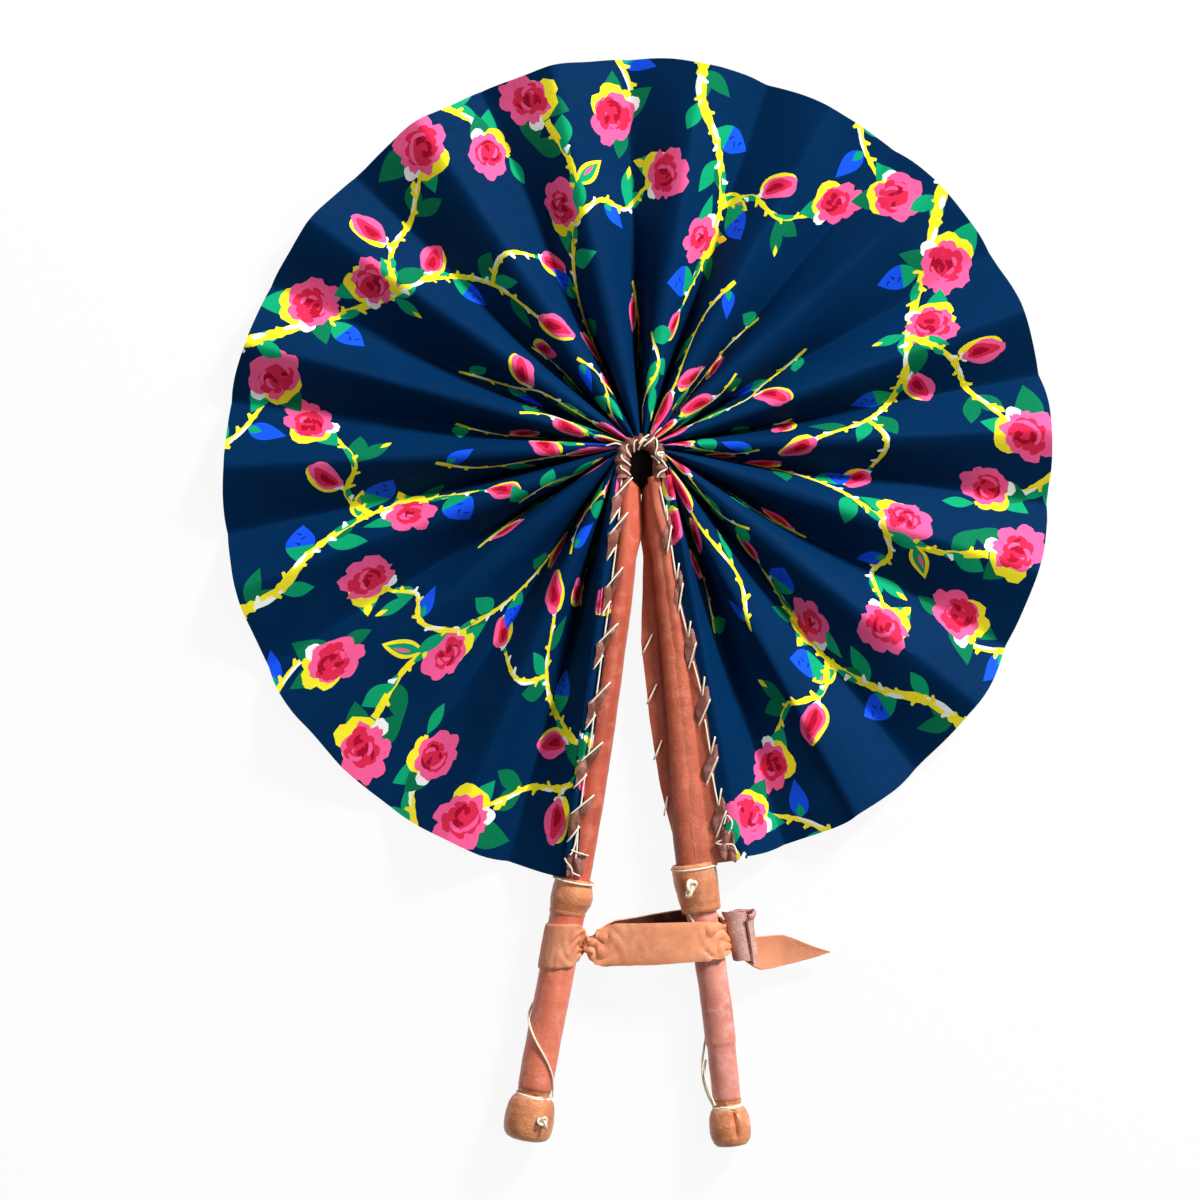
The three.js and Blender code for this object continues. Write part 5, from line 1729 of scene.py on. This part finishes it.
def arch_stitches():
    """Short stitches over the arch's inner edge, and the thread that runs down its right side."""
    half = math.pi * ARCH_MIDDLE
    rng = random.Random(9)
    lines = []
    for place in (-5.2, -1.4, 3.2, 7.4, 10.8):
        a, b, c = (rng.uniform(0.85, 1.15) for _ in range(3))
        points = [(place - 0.6 * a, -0.96), (place + 0.8 * b, -0.5), (place + 2.1 * c, 0.06),
                  (place + 3.2 * a, 0.16 * b)]
        lines.append(on_arch(*curve_through(points, 0.4).T))
    wander = [(half - 10.5, -0.6), (half - 8.6, 0.2), (half - 7.8, 0.84), (half - 5.2, 0.1),
              (half - 3.0, -0.5), (half + 0.8, 0.3), (half + 3.4, 0.7), (half + 5.0, -0.1),
              (half + 6.8, -0.4)]
    lines.append(on_arch(*curve_through(wander, 0.7).T))
    lines.append(on_arch(np.linspace(half - 3.2, half + 1.4, 9), np.linspace(-0.96, -0.15, 9)))
    lines.append(on_arch(np.linspace(half - 13, half - 9.4, 8), np.linspace(-0.3, 0.95, 8)))
    ends = [((6.4, 66.0, 19.2), (7.6, 67.6, 20.4), (9.8, 69.6, 20.8)),
            ((-5.6, 62.6, 18.6), (-8.4, 63.4, 20.0), (-12.2, 62.4, 19.2))]
    return lines + [curve_through(points, 0.8) for points in ends]


def make_lining():
    """The crumpled leather that closes the arch's hole from below, nearly black with painted shade."""
    radius = ARCH_HOLE + 0.35
    angles = np.radians(np.linspace(0, 180, 25))
    outline = [(radius * math.cos(a), radius * math.sin(a)) for a in angles]
    outline += [(-radius, y) for y in np.linspace(-1, -ARCH_FOOT_DROP - 0.4, 5)]
    point = [(-4.4, -6.2), (-3.8, -7.4), (-3.0, -8.6), (-1.9, -10.0), (-0.8, -12.0), (0, -13.5)]
    outline += point + [(-x, y) for x, y in point[-2::-1]]
    outline += [(radius, y) for y in np.linspace(-ARCH_FOOT_DROP - 0.4, -1, 5)]
    outline = np.array(outline)
    middle = np.array([0, -0.4])
    rows = []
    for share, level in ((0.98, 0.1), (1, 0.5), (1, 3), (1, 6), (1, 8), (0.94, 8.8), (0.75, 9.1),
                         (0.5, 8.7), (0.25, 8.9)):
        flat = middle + (outline - middle) * share + HUB + [0, ARCH_Y]
        rows.append(np.concatenate([flat, np.full((len(flat), 1), level)], -1))
    rows = np.array(rows)
    rows[5:, :, 2] += 0.9 * ripple(rows[5:], 2.4, 6) - 0.4
    ring_solid("hub_lining_leather", rows, DARK, "hub", "brown_leather", "hub_lining")


make_arch()
make_lining()
threads("hub_stitches", arch_stitches(), "hub", radius=FINE_THREAD)

# Finishes of the CAD pieces that stay
NODE_FINISHES = {
    "thread": THREAD,
    "stick_wood": CANE,
    "brown_leather": BINDING,
    "tan_leather": TAN,
    "red_leather": RED,
    "pale_leather": PALE,
    "flesh_leather": FLESH,
    "printed_cloth": CLOTH,
}
for entry in frame["record"]["subparts"]:
    mesh = frame["nodes"][entry["node"]].data
    mesh.materials.clear()
    mesh.materials.append(NODE_FINISHES[entry["material_slot"]])


# Floor, light and camera
FLOOR_REACH, FLOOR_LEVEL = 6.0, -0.0006


def make_stage():
    """A white table that still takes the fan's shadow."""
    floor = bpy.data.meshes.new("floor")
    corners = [(x * FLOOR_REACH, y * FLOOR_REACH, 0) for x, y in ((-1, -1), (1, -1), (1, 1), (-1, 1))]
    floor.from_pydata(corners, [], [(0, 1, 2, 3)])
    finish = Finish("white_floor", {"Base Color": shade("e9e9e9"), "Roughness": 0.9})
    glow = finish.node("ShaderNodeEmission", None, (1, 1, 1, 1), 1.0)
    path = finish.node("ShaderNodeLightPath")
    seen = Term(finish, path.outputs["Is Camera Ray"]) + Term(finish, path.outputs["Is Glossy Ray"])
    seen = seen + Term(finish, path.outputs["Is Transmission Ray"])
    both = finish.node("ShaderNodeMixShader", None, seen * 0.92)
    finish.put(both.inputs[1], finish.shader.outputs[0])
    finish.put(both.inputs[2], glow.outputs[0])
    finish.put(finish.tree.nodes["Material Output"].inputs[0], both.outputs[0])
    floor.materials.append(finish.material)
    plane = placed("floor", floor)
    plane.location.z = FLOOR_LEVEL


def add_lamp(name, place, size, power):
    """A round lamp that shines at the frame's origin."""
    lamp = bpy.data.lights.new(name, "AREA")
    lamp.shape = "DISK"
    lamp.size = size
    lamp.energy = power
    holder = placed(name, lamp)
    holder.location = place
    holder.rotation_euler = (-Vector(place)).to_track_quat("-Z", "Y").to_euler()


# In metres, but for the camera's sensor, which is 36 mm wide
SENSOR = 36
CAMERA_HEIGHT = 1.5
PHOTO_WIDTH = 0.48
PHOTO_CENTRE = (-0.01463, 0.00115)


def make_camera():
    """Straight above the fan, as in the photo."""
    camera = bpy.data.cameras.new("camera")
    camera.sensor_width = SENSOR
    camera.lens = SENSOR * (CAMERA_HEIGHT - MID_HEIGHT * MM) / PHOTO_WIDTH
    holder = placed("camera", camera)
    holder.location = (*PHOTO_CENTRE, CAMERA_HEIGHT)
    bpy.context.scene.camera = holder


def make_world():
    """A faint white light from all round."""
    world = bpy.data.worlds.new("studio")
    world.use_nodes = True
    bpy.context.scene.world = world
    world.node_tree.nodes["Background"].inputs[0].default_value = (1, 1, 1, 1)
    world.node_tree.nodes["Background"].inputs[1].default_value = 0.1


make_stage()
make_world()
make_camera()
add_lamp("window", (0.9, 1.05, 0.85), 0.35, 43)
add_lamp("side", (-1.0, 0.5, 0.7), 0.5, 3)
add_lamp("above", (0.75, -0.25, 1.35), 0.45, 5)
bpy.context.scene.view_settings.view_transform = "Standard"
